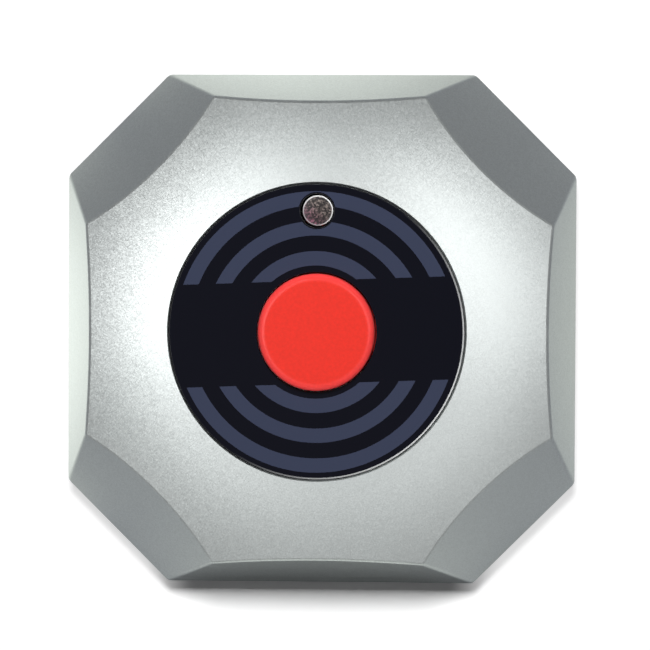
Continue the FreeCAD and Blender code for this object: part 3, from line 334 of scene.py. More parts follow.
def new_group(name, inputs, outputs, kind="ShaderNodeTree"):
    """An empty node group, and its inputs by name. Inputs are numbers or kinds of socket."""
    group = bpy.data.node_groups.new(name, kind)
    for label, value in inputs.items():
        plain = isinstance(value, float)
        socket = group.interface.new_socket(
            name=label, in_out="INPUT", socket_type=NUMBER if plain else value)
        if plain:
            socket.default_value = value
    for label, value in outputs.items():
        group.interface.new_socket(name=label, in_out="OUTPUT", socket_type=value)
    return group, named(group.nodes.new("NodeGroupInput"))


def ended(group, **outputs):
    """Ends a group or a tree with its outputs."""
    node(group, "NodeGroupOutput", None, outputs)
    return group


def use_group(tree, group, **inputs):
    """The outputs of a shared group in a material, by name."""
    return named(node(tree, "ShaderNodeGroup", {"node_tree": group}, inputs))


def shared(make):
    """Builds a shared group once and hands out the same one afterwards."""
    def get():
        kept = bpy.data.node_groups.get(make.__name__)
        return kept if kept else make(make.__name__)
    return get


@shared
def metal_flake(name):
    """Small flakes that each lean their own way, as in metallic paint."""
    group, given = new_group(
        name, {"Size": 0.2 * MM, "Tilt": 0.15, "Shade": 0.1},
        {"Normal": "NodeSocketVector", "Shade": NUMBER})
    flakes = cells(place(group), given["Size"])
    lean = scaled(vectors("SUBTRACT", flakes, (0.5, 0.5, 0.5)), given["Tilt"])
    normal = result("ShaderNodeNewGeometry", {}, output="Normal", tree=group)
    return ended(group, Normal=vectors("NORMALIZE", vectors("ADD", normal, lean)),
                 Shade=(red_of(flakes) - 0.5) * given["Shade"] + 1)


@shared
def moulded_grain(name):
    """Height of a fine moulded texture."""
    group, given = new_group(name, {"Size": 0.3 * MM}, {"Height": NUMBER})
    return ended(group, Height=noise(place(group), given["Size"], 3.0, 0.6))


@shared
def uneven_gloss(name):
    """A roughness that changes a little from patch to patch."""
    group, given = new_group(name, {"Roughness": 0.4, "Spread": 0.1, "Patch": 8 * MM},
                             {"Roughness": NUMBER})
    swing = noise(place(group), given["Patch"], 5.0, 0.65) - 0.5
    return ended(group, Roughness=swing * given["Spread"] + given["Roughness"])


@shared
def drawn_lines(name):
    """Fine lines along X, as on drawn wire and rolled sheet."""
    group, given = new_group(name, {"Pitch": 0.1 * MM}, {"Height": NUMBER})
    stretched = vectors("MULTIPLY", place(group), (0.06, 1.0, 1.0))
    return ended(group, Height=noise(stretched, given["Pitch"], 2.0))


@shared
def arc_print(name):
    """Mask of three arcs on each side of a plain band, for a place given by its X and Y."""
    group, given = new_group(
        name, {"X": 0.0, "Y": 0.0, "Inner": 10.8 * MM, "Width": 2.4 * MM, "Pitch": 4.8 * MM,
               "Band": 8.3 * MM, "Softness": 0.04 * MM}, {"Mask": NUMBER})
    x, y, softness = given["X"], given["Y"], given["Softness"]
    reach = maths("SQRT", x * x + y * y)
    half = given["Width"] * 0.5
    rings = 0.0
    for index in range(3):
        off = abs(reach - (given["Pitch"] * index + given["Inner"] + half))
        rings = maths("MAXIMUM", rings, clamped((half - off) / softness))
    outside = clamped((abs(y) - given["Band"]) / softness)
    return ended(group, Mask=rings * outside)


# ---- geometry node trees

def new_tree(name, inputs):
    """An empty Geometry Nodes tree with points, plain numbers and a material."""
    shape = "NodeSocketGeometry"
    return new_group(name, {"Points": shape, **inputs, "Material": "NodeSocketMaterial"},
                     {"Shape": shape}, "GeometryNodeTree")


def geo(tree, kind, settings=None, **inputs):
    """The first output of a geometry node. An underscore in an input's name stands for a space."""
    values = {name.replace("_", " "): value for name, value in inputs.items()}
    return result("GeometryNode" + kind, values, settings, tree=tree)


def finish_tree(tree, given, shape, rotation=(0.0, 0.0, 0.0)):
    """Puts the shape on each point, makes it real, sets its material and ends the tree."""
    placed = geo(tree, "InstanceOnPoints", Points=given["Points"], Instance=shape, Rotation=rotation)
    real = geo(tree, "RealizeInstances", Geometry=placed)
    return ended(tree, Shape=geo(tree, "SetMaterial", Geometry=real, Material=given["Material"]))


def swept(tree, path, points, radius, scale=1.0):
    """A curve made solid, with a round or many-sided section."""
    ring = geo(tree, "CurvePrimitiveCircle", Resolution=points, Radius=radius)
    return geo(tree, "CurveToMesh", Curve=path, Profile_Curve=ring, Scale=scale, Fill_Caps=True)


def turned(tree, radius, bottom, top, steps, scale, points):
    """A round bar along Z whose radius follows a field along its height."""
    line = geo(tree, "CurvePrimitiveLine", Start=xyz(z=bottom), End=xyz(z=top))
    return swept(tree, geo(tree, "ResampleCurve", Curve=line, Count=steps), points, radius, scale)


def spiral(tree, points, turns, radius, height):
    """A helix about Z, with so many points in each turn."""
    return geo(tree, "CurveSpiral", Resolution=points, Rotations=turns, Start_Radius=radius,
               End_Radius=radius, Height=height)


def moved(tree, shape, offset):
    """A shape put elsewhere."""
    return geo(tree, "Transform", Geometry=shape, Translation=offset)


def joined(tree, *shapes):
    """Several shapes as one."""
    join = tree.nodes.new("GeometryNodeJoinGeometry")
    for shape in shapes:
        tree.links.new(shape.socket, join.inputs[0])
    return Value(join.outputs[0])


def cross_head(tree, radius, height):
    """A pan head that ends at the origin, with a cross cut into its top."""
    # straight for the lowest 0.8 / 1.8 of the height, then rounded towards the top
    rounding = maths("MAXIMUM", geo(tree, "SplineParameter") * 1.8 - 0.8, 0.0)
    crown = maths("SQRT", 1 - rounding ** 2.2 * 0.6)
    head = turned(tree, radius, height * -1, 0.0, 14, crown, 48)
    slot_long = radius * 1.15
    slot_wide = radius * 0.24
    cut = geo(tree, "MeshBoolean", {"operation": "DIFFERENCE"}, Mesh_1=head)
    for x, y in ((slot_long, slot_wide), (slot_wide, slot_long)):
        bar = geo(tree, "MeshCube", Size=xyz(x, y, height * 1.3))
        tree.links.new(bar.socket, cut.socket.node.inputs["Mesh 2"])
    return cut


@shared
def screw_tree(name):
    """Pan head screws with a cross recess and a thread, head up, one at each given point."""
    tree, given = new_tree(name, {
        "Head Radius": 2.5 * MM, "Head Height": 1.8 * MM, "Shank Radius": 1.2 * MM,
        "Length": 8 * MM, "Pitch": 0.9 * MM, "Flip": 0.0})
    along = geo(tree, "SplineParameter")
    neck = given["Head Height"] * -1
    end = neck - given["Length"]
    core_radius = given["Shank Radius"] * 0.76
    tip = maths("MINIMUM", along * 4 + 0.45, 1.0)
    core = turned(tree, core_radius, end, neck, 25, tip, 32)
    turns = given["Length"] / given["Pitch"] - 1
    path = spiral(tree, 28, turns, core_radius, turns * given["Pitch"])
    fading = maths("MINIMUM", along * 5 + 0.15, 1.0)
    thread = swept(tree, path, 4, given["Shank Radius"] * 0.23, fading)
    whole = joined(tree, cross_head(tree, given["Head Radius"], given["Head Height"]), core,
                   moved(tree, thread, xyz(z=given["Pitch"] * 0.3 + end)))
    return finish_tree(tree, given, whole, xyz(given["Flip"], z=geo(tree, "InputIndex") * 0.7))


@shared
def coil_tree(name):
    """Wire wound into a coil along Z, with flat end turns, one at each given point."""
    tree, given = new_tree(name, {
        "Radius": 5 * MM, "Wire": 0.3 * MM, "Turns": 4.0, "Height": 6 * MM, "Flat": 0.5, "Lean": 0.0})
    path = spiral(tree, 48, given["Turns"], given["Radius"], given["Height"])
    turn = geo(tree, "SplineParameter") * given["Turns"] - given["Flat"]
    rise = clamped(turn / (given["Turns"] - given["Flat"] * 2))
    x, y, _ = axes_of(geo(tree, "InputPosition"))
    wound = geo(tree, "SetPosition", Geometry=path, Position=xyz(x, y, rise * given["Height"]))
    return finish_tree(tree, given, swept(tree, wound, 14, given["Wire"]), xyz(0.0, given["Lean"]))


@shared
def chip_tree(name):
    """Small chips with metal end caps, one at each given point; the caps carry a mask."""
    tree, given = new_tree(name, {
        "Long": 2 * MM, "Wide": 1.25 * MM, "High": 0.6 * MM, "Cap": 0.4 * MM})
    apart = given["Long"] - given["Cap"]
    body = geo(tree, "MeshCube", Size=xyz(apart, given["Wide"] * 0.96, given["High"] * 0.94))
    cap = geo(tree, "MeshCube", Size=xyz(given["Cap"], given["Wide"], given["High"]))
    caps = [geo(tree, "StoreNamedAttribute", {"data_type": "FLOAT"}, Name="tin", Value=1.0,
                Geometry=moved(tree, cap, xyz(apart * side))) for side in (-0.5, 0.5)]
    return finish_tree(tree, given, joined(tree, body, *caps))


# ---- meshes

def add_ring(curve, x, y, radius):
    """Adds a full circle to a curve, as four Bezier points."""
    handle = radius * 4 / 3 * math.tan(math.pi / 8)
    spline = curve.splines.new("BEZIER")
    spline.bezier_points.add(3)
    for index, point in enumerate(spline.bezier_points):
        turn = math.pi / 2 * index
        out = Vector((math.cos(turn), math.sin(turn), 0.0))
        along = Vector((-math.sin(turn), math.cos(turn), 0.0))
        middle = Vector((x, y, 0.0)) + out * radius
        point.co = middle
        point.handle_left = middle - along * handle
        point.handle_right = middle + along * handle
    spline.use_cyclic_u = True
    spline.resolution_u = 40


def put(name, data):
    """A new object in the scene."""
    made = bpy.data.objects.new(name, data)
    bpy.context.scene.collection.objects.link(made)
    return made


def mesh_of(name, data, modify=None):
    """The plain mesh that a curve gives, or points with a modifier."""
    holder = put(name, data)
    if modify:
        modify(holder)
    bpy.context.view_layer.update()
    graph = bpy.context.evaluated_depsgraph_get()
    mesh = bpy.data.meshes.new_from_object(holder.evaluated_get(graph))
    bpy.data.objects.remove(holder)
    tidy_mesh(mesh)
    return mesh


def tidy_mesh(mesh):
    """Closes seams, turns faces outward and keeps edges crisp."""
    shape = bmesh.new()
    shape.from_mesh(mesh)
    bmesh.ops.remove_doubles(shape, verts=shape.verts, dist=MICRON)
    bmesh.ops.recalc_face_normals(shape, faces=shape.faces)
    shape.to_mesh(mesh)
    shape.free()
    mesh.shade_smooth()
    mesh.set_sharp_from_angle(angle=math.radians(35))


def turned_mesh(name, profile, x, y, steps=72):
    """A closed mesh turned about a vertical axis from points of radius and height."""
    shape = bmesh.new()
    ring = [shape.verts.new((radius, 0.0, height)) for radius, height in profile]
    edges = [shape.edges.new(pair) for pair in zip(ring, ring[1:])]
    bmesh.ops.spin(shape, geom=ring + edges, cent=(0, 0, 0), axis=(0, 0, 1),
                   angle=2 * math.pi, steps=steps, use_merge=True)
    shape.transform(Matrix.Translation((x, y, 0.0)))
    mesh = bpy.data.meshes.new(name)
    shape.to_mesh(mesh)
    shape.free()
    tidy_mesh(mesh)
    return mesh


def grown(name, tree, points, material, **inputs):
    """The plain mesh that a Geometry Nodes tree makes of some points."""
    seeds = bpy.data.meshes.new(name)
    seeds.from_pydata([tuple(point) for point in points], [], [])
    values = {label.replace("_", " "): value for label, value in inputs.items()}
    values["Material"] = material

    def modify(holder):
        modifier = holder.modifiers.new("make", "NODES")
        modifier.node_group = tree
        for item in tree.interface.items_tree:
            if item.in_out == "INPUT" and item.name in values:
                modifier[item.identifier] = values[item.name]

    return mesh_of(name, seeds, modify)


def parts_of(name):
    """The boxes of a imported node's separate solids, from left to right, as pairs of corners."""
    shape = bmesh.new()
    shape.from_mesh(NODES[name].data)
    shape.transform(NODES[name].matrix_world)
    bmesh.ops.remove_doubles(shape, verts=shape.verts, dist=MICRON)
    left = set(shape.verts)
    boxes = []
    while left:
        shell = {left.pop()}
        edge = set(shell)
        while edge:
            near = {link.other_vert(vert) for vert in edge for link in vert.link_edges}
            edge = near - shell
            shell |= edge
        left -= shell
        boxes.append([Vector(pick(vert.co[axis] for vert in shell) for axis in range(3))
                      for pick in (min, max)])
    shape.free()
    return sorted(boxes, key=lambda corners: tuple(corners[0]))


# ---- materials

def new_material(name, tint, roughness, metallic=0.0, coat=0.0):
    """A material with its Principled shader, and the node tree to dress it in."""
    material = bpy.data.materials.new(name)
    material.use_nodes = True
    tree = material.node_tree
    surface = tree.nodes["Principled BSDF"]
    surface.inputs["Base Color"].default_value = (*tint, 1.0)
    surface.inputs["Roughness"].default_value = roughness
    surface.inputs["Metallic"].default_value = metallic
    surface.inputs["Coat Weight"].default_value = coat
    surface.inputs["Coat Roughness"].default_value = 0.05
    return material, tree, surface


def feed(surface, **inputs):
    """Links Values to a shader. An underscore in an input's name stands for a space."""
    for name, value in inputs.items():
        surface.id_data.links.new(value.socket, surface.inputs[name.replace("_", " ")])


def grain(tree, size):
    """The height of a moulded texture of some size."""
    return use_group(tree, moulded_grain(), Size=size)["Height"]


def textured(surface, tone, height, depth, swing=0.3, raised=None):
    """Lets a fine height raise the surface, and lighten and darken its colour."""
    bump = result("ShaderNodeBump", {"Height": raised or height, "Distance": depth, "Strength": 0.5})
    shade = height * swing + (1 - swing / 2)
    feed(surface, Normal=bump, Base_Color=scaled(tone, shade))


def glossed(tree, surface, roughness, spread, patch):
    """Lets the roughness change a little from patch to patch."""
    feed(surface, **use_group(tree, uneven_gloss(), Roughness=roughness, Spread=spread, Patch=patch))


def silver_paint(look):
    """Metallic paint with small leaning flakes."""
    material, tree, surface = new_material("silver_paint", look.paint, look.paint_roughness, 1.0)
    flake = use_group(tree, metal_flake(), Size=look.flake_size, Tilt=look.flake_tilt,
                      Shade=look.flake_shade)
    feed(surface, Normal=flake["Normal"], Base_Color=scaled(look.paint, flake["Shade"]))
    glossed(tree, surface, look.paint_roughness, spread=0.03, patch=14 * MM)
    return material


def plastic(name, tint, roughness, size=0.3 * MM, depth=0.012 * MM):
    """A moulded plastic with a fine texture and uneven gloss."""
    material, tree, surface = new_material(name, tint, roughness)
    textured(surface, tint, grain(tree, size), depth)
    glossed(tree, surface, roughness, spread=0.12, patch=6 * MM)
    return material


def metal(name, tint, roughness):
    """A plain metal with fine drawn lines."""
    material, tree, surface = new_material(name, tint, roughness, metallic=1.0)
    lines = use_group(tree, drawn_lines(), Pitch=0.08 * MM)["Height"]
    textured(surface, tint, lines, depth=0.004 * MM, swing=0.24)
    glossed(tree, surface, roughness, spread=0.15, patch=2 * MM)
    return material


def dress(material, *names):
    """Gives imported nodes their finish."""
    for name in names:
        slots = NODES[name].data.materials
        slots.clear()
        slots.append(material)


def add_piece(name, mesh, material, body, replaced):
    """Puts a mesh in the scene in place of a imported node, riding on its body if it has just one."""
    piece = put(name, mesh)
    mesh.materials.clear()
    mesh.materials.append(material)
    if body:
        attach(piece, body)
    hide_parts(replaced)
    return piece


# ---- pieces

class CALLBUTTON_OT_case(bpy.types.Operator):
    """Paints the cover and finishes the base, the battery door and the feet"""

    bl_idname = "callbutton.case"
    bl_label = "Case"

    def execute(self, context):
        look = context.scene.call_case
        dress(silver_paint(look), "top_cover")
        dress(plastic("dark_shell", look.shell, 0.5, look.shell_grain, 0.02 * MM),
              "base_cover", "battery_door")
        dress(plastic("foot_rubber", look.rubber, 0.8, 0.2 * MM, 0.03 * MM), "rubber_feet")
        return {"FINISHED"}


class CALLBUTTON_OT_panel(bpy.types.Operator):
    """Makes the round panel with its printed arcs"""

    bl_idname = "callbutton.panel"
    bl_label = "Panel"

    def execute(self, context):
        look = context.scene.call_panel
        radius = radius_of("face_disc") + look.grown
        add_piece("face_panel", self.make_disc(look, radius), self.make_finish(look, radius),
                  "housing", "face_disc")
        dress(plastic("adhesive_tape", (0.70, 0.68, 0.62), 0.7), "disc_adhesive")
        return {"FINISHED"}

    def make_disc(self, look, radius):
        """A flat curve with two holes, given its thickness and a rounded rim."""
        low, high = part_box("face_disc")
        lamp = centre_of("indicator_led")
        curve = bpy.data.curves.new("panel_outline", "CURVE")
        curve.dimensions = "2D"
        curve.fill_mode = "BOTH"
        add_ring(curve, 0.0, 0.0, radius)
        add_ring(curve, 0.0, 0.0, CAP_HOLE_RADIUS)
        add_ring(curve, lamp.x, lamp.y, LAMP_HOLE_RADIUS)
        curve.bevel_depth = look.edge
        curve.bevel_resolution = 4
        curve.offset = -look.edge
        curve.extrude = (high.z - low.z) / 2 - look.edge
        mesh = mesh_of("face_panel", curve)
        mesh.transform(Matrix.Translation((0.0, 0.0, (low.z + high.z) / 2)))
        for polygon in mesh.polygons:
            polygon.use_smooth = abs(polygon.normal.z) < 0.999
        return mesh

    def make_finish(self, look, radius):
        """Polished black with slate arcs that stop short of the lamp, and a rim painted pale towards
        the near right as a painted highlight.
        """
        material, tree, surface = new_material("black_panel", look.black, look.polish)
        spot = place(tree)
        x, y, _ = axes_of(result("ShaderNodeMapping", {
            "Vector": spot, "Location": (look.print_shift, 0.0, 0.0),
            "Rotation": (0.0, 0.0, -look.print_turn)}, {"vector_type": "POINT"}))
        mask = use_group(tree, arc_print(), X=x, Y=y, Inner=look.arc_inner,
                         Width=look.arc_width, Pitch=look.arc_pitch, Band=look.band)["Mask"]
        lamp = centre_of("indicator_led")
        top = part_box("face_disc")[1].z
        from_lamp = vectors("SUBTRACT", spot, (lamp.x, lamp.y, top))
        away = vectors("LENGTH", from_lamp) > look.lamp_margin
        tint = blend(mask * away, look.black, look.print_colour)
        # painted highlight: the rim is painted pale, most towards the near right, as if the lit case
        # showed through a clear edge
        out = vectors("SUBTRACT", spot, (0.0, 0.0, top))
        start = radius - look.clear_width
        rim = faded(vectors("LENGTH", out), (start - look.clear_blur, start + look.clear_blur))
        towards = vectors("DOT_PRODUCT", vectors("NORMALIZE", out), HIGHLIGHT_SIDE)
        highlight_share = maths("MAXIMUM", towards, 0.0) ** 1.3
        feed(surface, Base_Color=blend(rim * highlight_share, tint, look.clear))
        glossed(tree, surface, look.polish, spread=0.04, patch=9 * MM)
        return material


class CALLBUTTON_OT_cap(bpy.types.Operator):
    """Finishes the red push cap"""

    bl_idname = "callbutton.cap"
    bl_label = "Push cap"

    def execute(self, context):
        dress(self.make_finish(context.scene.call_cap), "call_button")
        return {"FINISHED"}

    def make_finish(self, look):
        """Red plastic with a painted sheen: paler towards its edge."""
        material, tree, surface = new_material("red_button", look.red, look.red_roughness, coat=0.15)
        flat = vectors("MULTIPLY", place(tree), (1.0, 1.0, 0.0))
        # painted sheen: paler red painted on the bevel all round
        edge = faded(vectors("LENGTH", flat), (CAP_RADIUS * 0.84, CAP_RADIUS * 0.97))
        tone = blend(edge, look.red, look.red_edge)
        textured(surface, tone, grain(tree, 0.5 * MM), depth=0.002 * MM)
        glossed(tree, surface, look.red_roughness, spread=0.06, patch=6 * MM)
        return material


class CALLBUTTON_OT_lamp(bpy.types.Operator):
    """Finishes the indicator lamp and its spacer"""

    bl_idname = "callbutton.lamp"
    bl_label = "Indicator lamp"

    def execute(self, context):
        look = context.scene.call_cap
        add_piece("lamp_lens", self.make_shape(look), self.make_lens(look), "housing",
                  "indicator_led")
        dress(metal("tinned_lead", TIN, 0.3), "led_leads")
        dress(plastic("black_nylon", (0.02, 0.02, 0.02), 0.55), "led_spacer")
        return {"FINISHED"}

    def make_shape(self, look):
        """A clear lamp with a collar at its foot and a low crown inside a sloping rim."""
        low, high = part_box("indicator_led")
        middle = (low + high) / 2
        collar = radius_of("indicator_led")
        collar_top = low.z + MM
        flat = LENS_RADIUS - look.lamp_rim_width
        brim = high.z - look.lamp_crown
        profile = [(0.0, low.z), (collar, low.z), (collar, collar_top), (LENS_RADIUS, collar_top)]
        steps = 10
        for step in range(steps):
            turn = math.pi / 2 * step / steps
            profile.append((flat + look.lamp_rim_width * math.cos(turn),
                            brim - look.lamp_rim_drop * (1 - math.sin(turn))))
        for step in range(steps + 1):
            share = 1 - step / steps
            profile.append((flat * share, high.z - look.lamp_crown * share ** 2))
        return turned_mesh("lamp_lens", profile, middle.x + look.lamp_shift, middle.y)

    def make_lens(self, look):
        """Clear epoxy over brownish flecks that turn pinker towards the near left, with a painted
        highlight ring at its edge that is painted darker, as shade, at the near left.
        """
        material, tree, surface = new_material("led_epoxy", look.lamp_light, 0.35, 0.0, 1.0)
        spot = place(tree)
        middle = centre_of("indicator_led")
        middle.x += look.lamp_shift
        flat = vectors("MULTIPLY", vectors("SUBTRACT", spot, middle), (1.0, 1.0, 0.0))
        near_left = faded(vectors("DOT_PRODUCT", flat, NEAR_LEFT), (-0.4 * MM, 1.8 * MM),
                          kind="LINEAR")
        light = blend(near_left, look.lamp_light, look.lamp_blush)
        inner = blend(red_of(cells(spot, look.fleck_size)) ** 3, look.lamp_dark, light)
        # painted highlight ring at the lens's edge, with painted shade at the near left
        start = LENS_RADIUS - look.lamp_rim_width
        ring = faded(vectors("LENGTH", flat), (start - look.lamp_rim_blur, start + look.lamp_rim_blur))
        rim = blend(near_left, look.lamp_rim, look.lamp_rim_dim)
        feed(surface, Base_Color=blend(ring, inner, rim))
        return material


class CALLBUTTON_OT_works(bpy.types.Operator):
    """Finishes the board, its parts, the switch, the contacts and the cell"""

    bl_idname = "callbutton.works"
    bl_label = "Works"

    def execute(self, context):
        look = context.scene.call_works
        steel = metal("spring_steel", (0.62, 0.62, 0.62), 0.28)
        dress(steel, "negative_contact", "positive_contact")
        dress(metal("tinned_metal", (0.74, 0.73, 0.71), 0.32),
              "switch_cover", "switch_legs", "chip_leads")
        dress(plastic("chip_black", (0.016, 0.016, 0.017), 0.5, 0.15 * MM),
              "encoder_chip", "rf_transistor")
        dress(plastic("switch_nylon", (0.022, 0.022, 0.024), 0.55), "switch_body", "switch_plunger")
        dress(metal("can_steel", (0.78, 0.77, 0.75), 0.25), "saw_resonator")
        dress(self.make_board(look), "circuit_board")
        dress(self.make_can(look), "electrolytic_capacitor")
        dress(self.make_cell(look), "battery")
        self.fit_screws(look)
        self.wind_coils(look, steel)
        self.fit_chips()
        return {"FINISHED"}

    def fit_screws(self, look):
        """Case screws go in from below, board screws from above."""
        finish = metal("screw_steel", (0.60, 0.60, 0.61), 0.3)
        for name, head, shank, height, pitch, flip in (
                ("case_screws", 2.5, 1.25, 1.8, look.thread_pitch, math.pi),
                ("board_screws", 1.9, 0.95, 1.3, look.thread_pitch * 0.7, 0.0)):
            low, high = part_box(name)
            outer = low.z if flip else high.z
            points = [Vector(((first.x + last.x) / 2, (first.y + last.y) / 2, outer))
                      for first, last in parts_of(name)]
            mesh = grown(name + "_shown", screw_tree(), points, finish, Head_Radius=head * MM,
                         Head_Height=height * MM, Shank_Radius=shank * MM,
                         Length=high.z - low.z - height * MM, Pitch=pitch, Flip=flip)
            add_piece(name + "_shown", mesh, finish, "housing", name)

    def wind_coils(self, look, steel):
        """The spring under the push cap; the antenna lies along X."""
        low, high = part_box("button_spring")
        wire = 0.3 * MM
        mesh = grown("cap_spring", coil_tree(), [(0.0, 0.0, low.z + wire)], steel,
                     Radius=high.x - wire, Wire=wire, Turns=look.spring_turns,
                     Height=high.z - low.z - 2 * wire, Flat=0.75)
        spring = add_piece("cap_spring", mesh, steel, None, "button_spring")
        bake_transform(spring)
        copper = metal("antenna_copper", (0.80, 0.42, 0.24), 0.3)
        low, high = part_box("antenna_coil")
        wire = 0.35 * MM
        radius = (high.y - low.y) / 2 - wire
        middle = (low.y + high.y) / 2
        mesh = grown("antenna_shown", coil_tree(), [(low.x + wire, middle, high.z - radius - wire)],
                     copper, Radius=radius, Wire=wire, Turns=look.antenna_turns,
                     Height=high.x - low.x - 2 * wire, Flat=0.0, Lean=math.pi / 2)
        shape = bmesh.new()
        shape.from_mesh(mesh)
        for x in (low.x + wire, high.x - wire):
            leg = turned_mesh("leg", [(0.0, low.z), (wire, low.z), (wire, low.z + 2.5 * wire),
                                      (0.0, low.z + 2.5 * wire)], x, middle, 16)
            shape.from_mesh(leg)
            bpy.data.meshes.remove(leg)
        shape.to_mesh(mesh)
        shape.free()
        add_piece("antenna_shown", mesh, copper, "housing", "antenna_coil")

    def fit_chips(self):
        """Chip resistors and capacitors, each with tinned ends."""
        for name, tint, slot in (("chip_resistors", (0.018, 0.018, 0.020), "chip_black"),
                                 ("chip_capacitors", (0.34, 0.22, 0.12), "ceramic_tan")):
            boxes = parts_of(name)
            size = boxes[0][1] - boxes[0][0]
            finish = self.make_chip(name + "_finish", tint)
            points = [(first + last) / 2 for first, last in boxes]
            mesh = grown(name + "_shown", chip_tree(), points, finish,
                         Long=size.x, Wide=size.y, High=size.z, Cap=size.x * 0.22)
            add_piece(name + "_shown", mesh, finish, "housing", name)

    def make_chip(self, name, tint):
        """Ceramic between tinned ends, told apart by the mask on the mesh."""
        material, tree, surface = new_material(name, tint, 0.5)
        tin = result("ShaderNodeAttribute", {}, {"attribute_name": "tin"}, "Fac", tree)
        textured(surface, blend(tin, tint, TIN), grain(tree, 0.12 * MM), depth=0.01 * MM)
        feed(surface, Metallic=tin, Roughness=tin * -0.2 + 0.55)
        return material

    def make_board(self, look):
        """Solder mask with lighter tracks that run in steps, and bare edges of laminate."""
        material, tree, surface = new_material("circuit_board", look.mask_green, 0.4)
        spot = place(tree)
        block = 6.5 * MM
        track_pitch = 1.3 * MM
        jog = cells(spot, block, "Distance", "CHEBYCHEV", 0.9) * block
        track = abs(maths("FRACT", jog / track_pitch) - 0.5) < 0.17
        low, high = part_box("circuit_board")
        inside = abs(axes_of(spot)[2] - (low.z + high.z) / 2) < (high.z - low.z) * 0.48
        tone = blend(inside, blend(track, look.mask_green, look.trace_green), look.laminate)
        height = grain(tree, 0.25 * MM)
        textured(surface, tone, height, depth=0.012 * MM, raised=track * 2 + height)
        glossed(tree, surface, 0.38, spread=0.15, patch=4 * MM)
        return material

    def make_can(self, look):
        """An aluminium can in a dark sleeve that stops short of the top, with a pale stripe."""
        material, tree, surface = new_material("can_aluminium", look.sleeve, 0.4)
        low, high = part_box("electrolytic_capacitor")
        middle = (low + high) / 2
        x, _, z = axes_of(place(tree))
        bare = z > high.z - 0.12 * MM
        stripe = x > middle.x + (high.x - middle.x) * 0.72
        tone = blend(bare, blend(stripe, look.sleeve, (0.62, 0.64, 0.66)), (0.78, 0.78, 0.79))
        textured(surface, tone, grain(tree, 0.3 * MM), depth=0.008 * MM)
        feed(surface, Metallic=bare)
        return material

    def make_cell(self, look):
        """A sleeve in two plain colours with a thin line where they meet, and bare steel ends."""
        material, tree, surface = new_material("battery_jacket", look.jacket, 0.3, coat=0.3)
        low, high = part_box("battery")
        share = (axes_of(place(tree))[0] - low.x) / (high.x - low.x)
        change = 0.62
        line = abs(share - change) < 0.012
        bare = abs(share - 0.475) > 0.445
        tone = blend(line, blend(share < change, look.jacket, look.jacket_dark), (0.70, 0.70, 0.68))
        tone = blend(bare, tone, (0.66, 0.65, 0.63))
        textured(surface, tone, grain(tree, 0.4 * MM), depth=0.006 * MM, swing=0.2)
        feed(surface, Metallic=maths("MAXIMUM", bare, line * 0.6))
        return material


# ---- stage

# brightness of the sky by degrees from the zenith
SKY_STOPS = (
    (0, 0.08), (9, 0.10), (19, 0.56), (33, 1.87), (44, 0.58), (60, 0.36), (80, 0.38), (120, 0.38))
# how the sky's ring changes by degrees of heading from +X
HEADING_STOPS = (
    (0, 1.08), (22, 1.25), (50, 2.85), (70, 1.38), (88, 0.68), (102, 1.50), (118, 2.75), (140, 2.25),
    (168, 1.12), (203, 1.40), (228, 1.27), (247, 1.03), (270, 0.74), (300, 0.93), (330, 1.10),
    (360, 1.08))
# how far that change holds, by degrees from the zenith
FADE_STOPS = ((0, 0.1), (22, 0.1), (35, 1.0), (39, 1.0), (52, 0.0))
# the part of the sky, by degrees from the zenith, that is dimmer behind and brighter in front,
# and by how much
BAND_STOPS = ((0, 0.0), (30, 0.0), (46, 1.0), (62, 0.6), (80, 0.0))
BAND_DEPTH = 0.60
# name, lean from the zenith and heading from +X in degrees, size in metres, power in watts,
# and whether it is there to be mirrored by the paint or to light the matt surfaces
SOFTBOXES = (
    ("left_softbox", 32, 171, 0.38, 0.86, True),
    ("right_softbox", 37, 13, 0.38, 0.42, True),
    ("key_softbox", 27, 91, 0.21, 5.9, False),
    ("front_softbox", 87, 270, 0.15, 2.9, False),
    ("under_softbox", 165, 225, 0.50, 3.5, False),
    ("under_side_softbox", 120, 60, 0.40, 1.5, False),
)
SOFTBOX_DISTANCE = 0.75
FLOOR_WHITE = 0.95
# where the floor pales the object's shadow, in metres from the middle: far off, beside and behind
SHADOW_FAR = (0.065, 0.12)
SHADOW_BESIDE = (0.0212, 0.031)
SHADOW_BEHIND = (-0.042, -0.038)
SHADOW_PALED = 0.65
# how bright the paint mirrors the floor under the case, and where that part ends in metres
UNDER_LEVEL = 0.30
UNDER_ENDS = (0.030, 0.040)
# near by: at the diagonals, what the middle of a side adds, and how that grows to the left
NEAR_LEVEL = 0.42
NEAR_MORE_SIDE = 0.76
NEAR_MORE_LEFT = 0.41
# near by in front it dims to this share, between these directions from front (-1) to back (1)
FRONT_SHARE = 0.02
FRONT_ENDS = (-0.93, -0.55)
# far off, what the front adds there, and where near by ends in metres
FAR_LEVEL = 0.27
FAR_MORE_FRONT = 0.83
NEAR_ENDS = (0.049, 0.079)
# the tint of what is mirrored, from the dim parts to the bright ones
TINT_ENDS = (0.35, 0.80)
DIM_TINT = (0.97, 1.0, 1.08)
BRIGHT_TINT = (0.97, 1.0, 0.945)


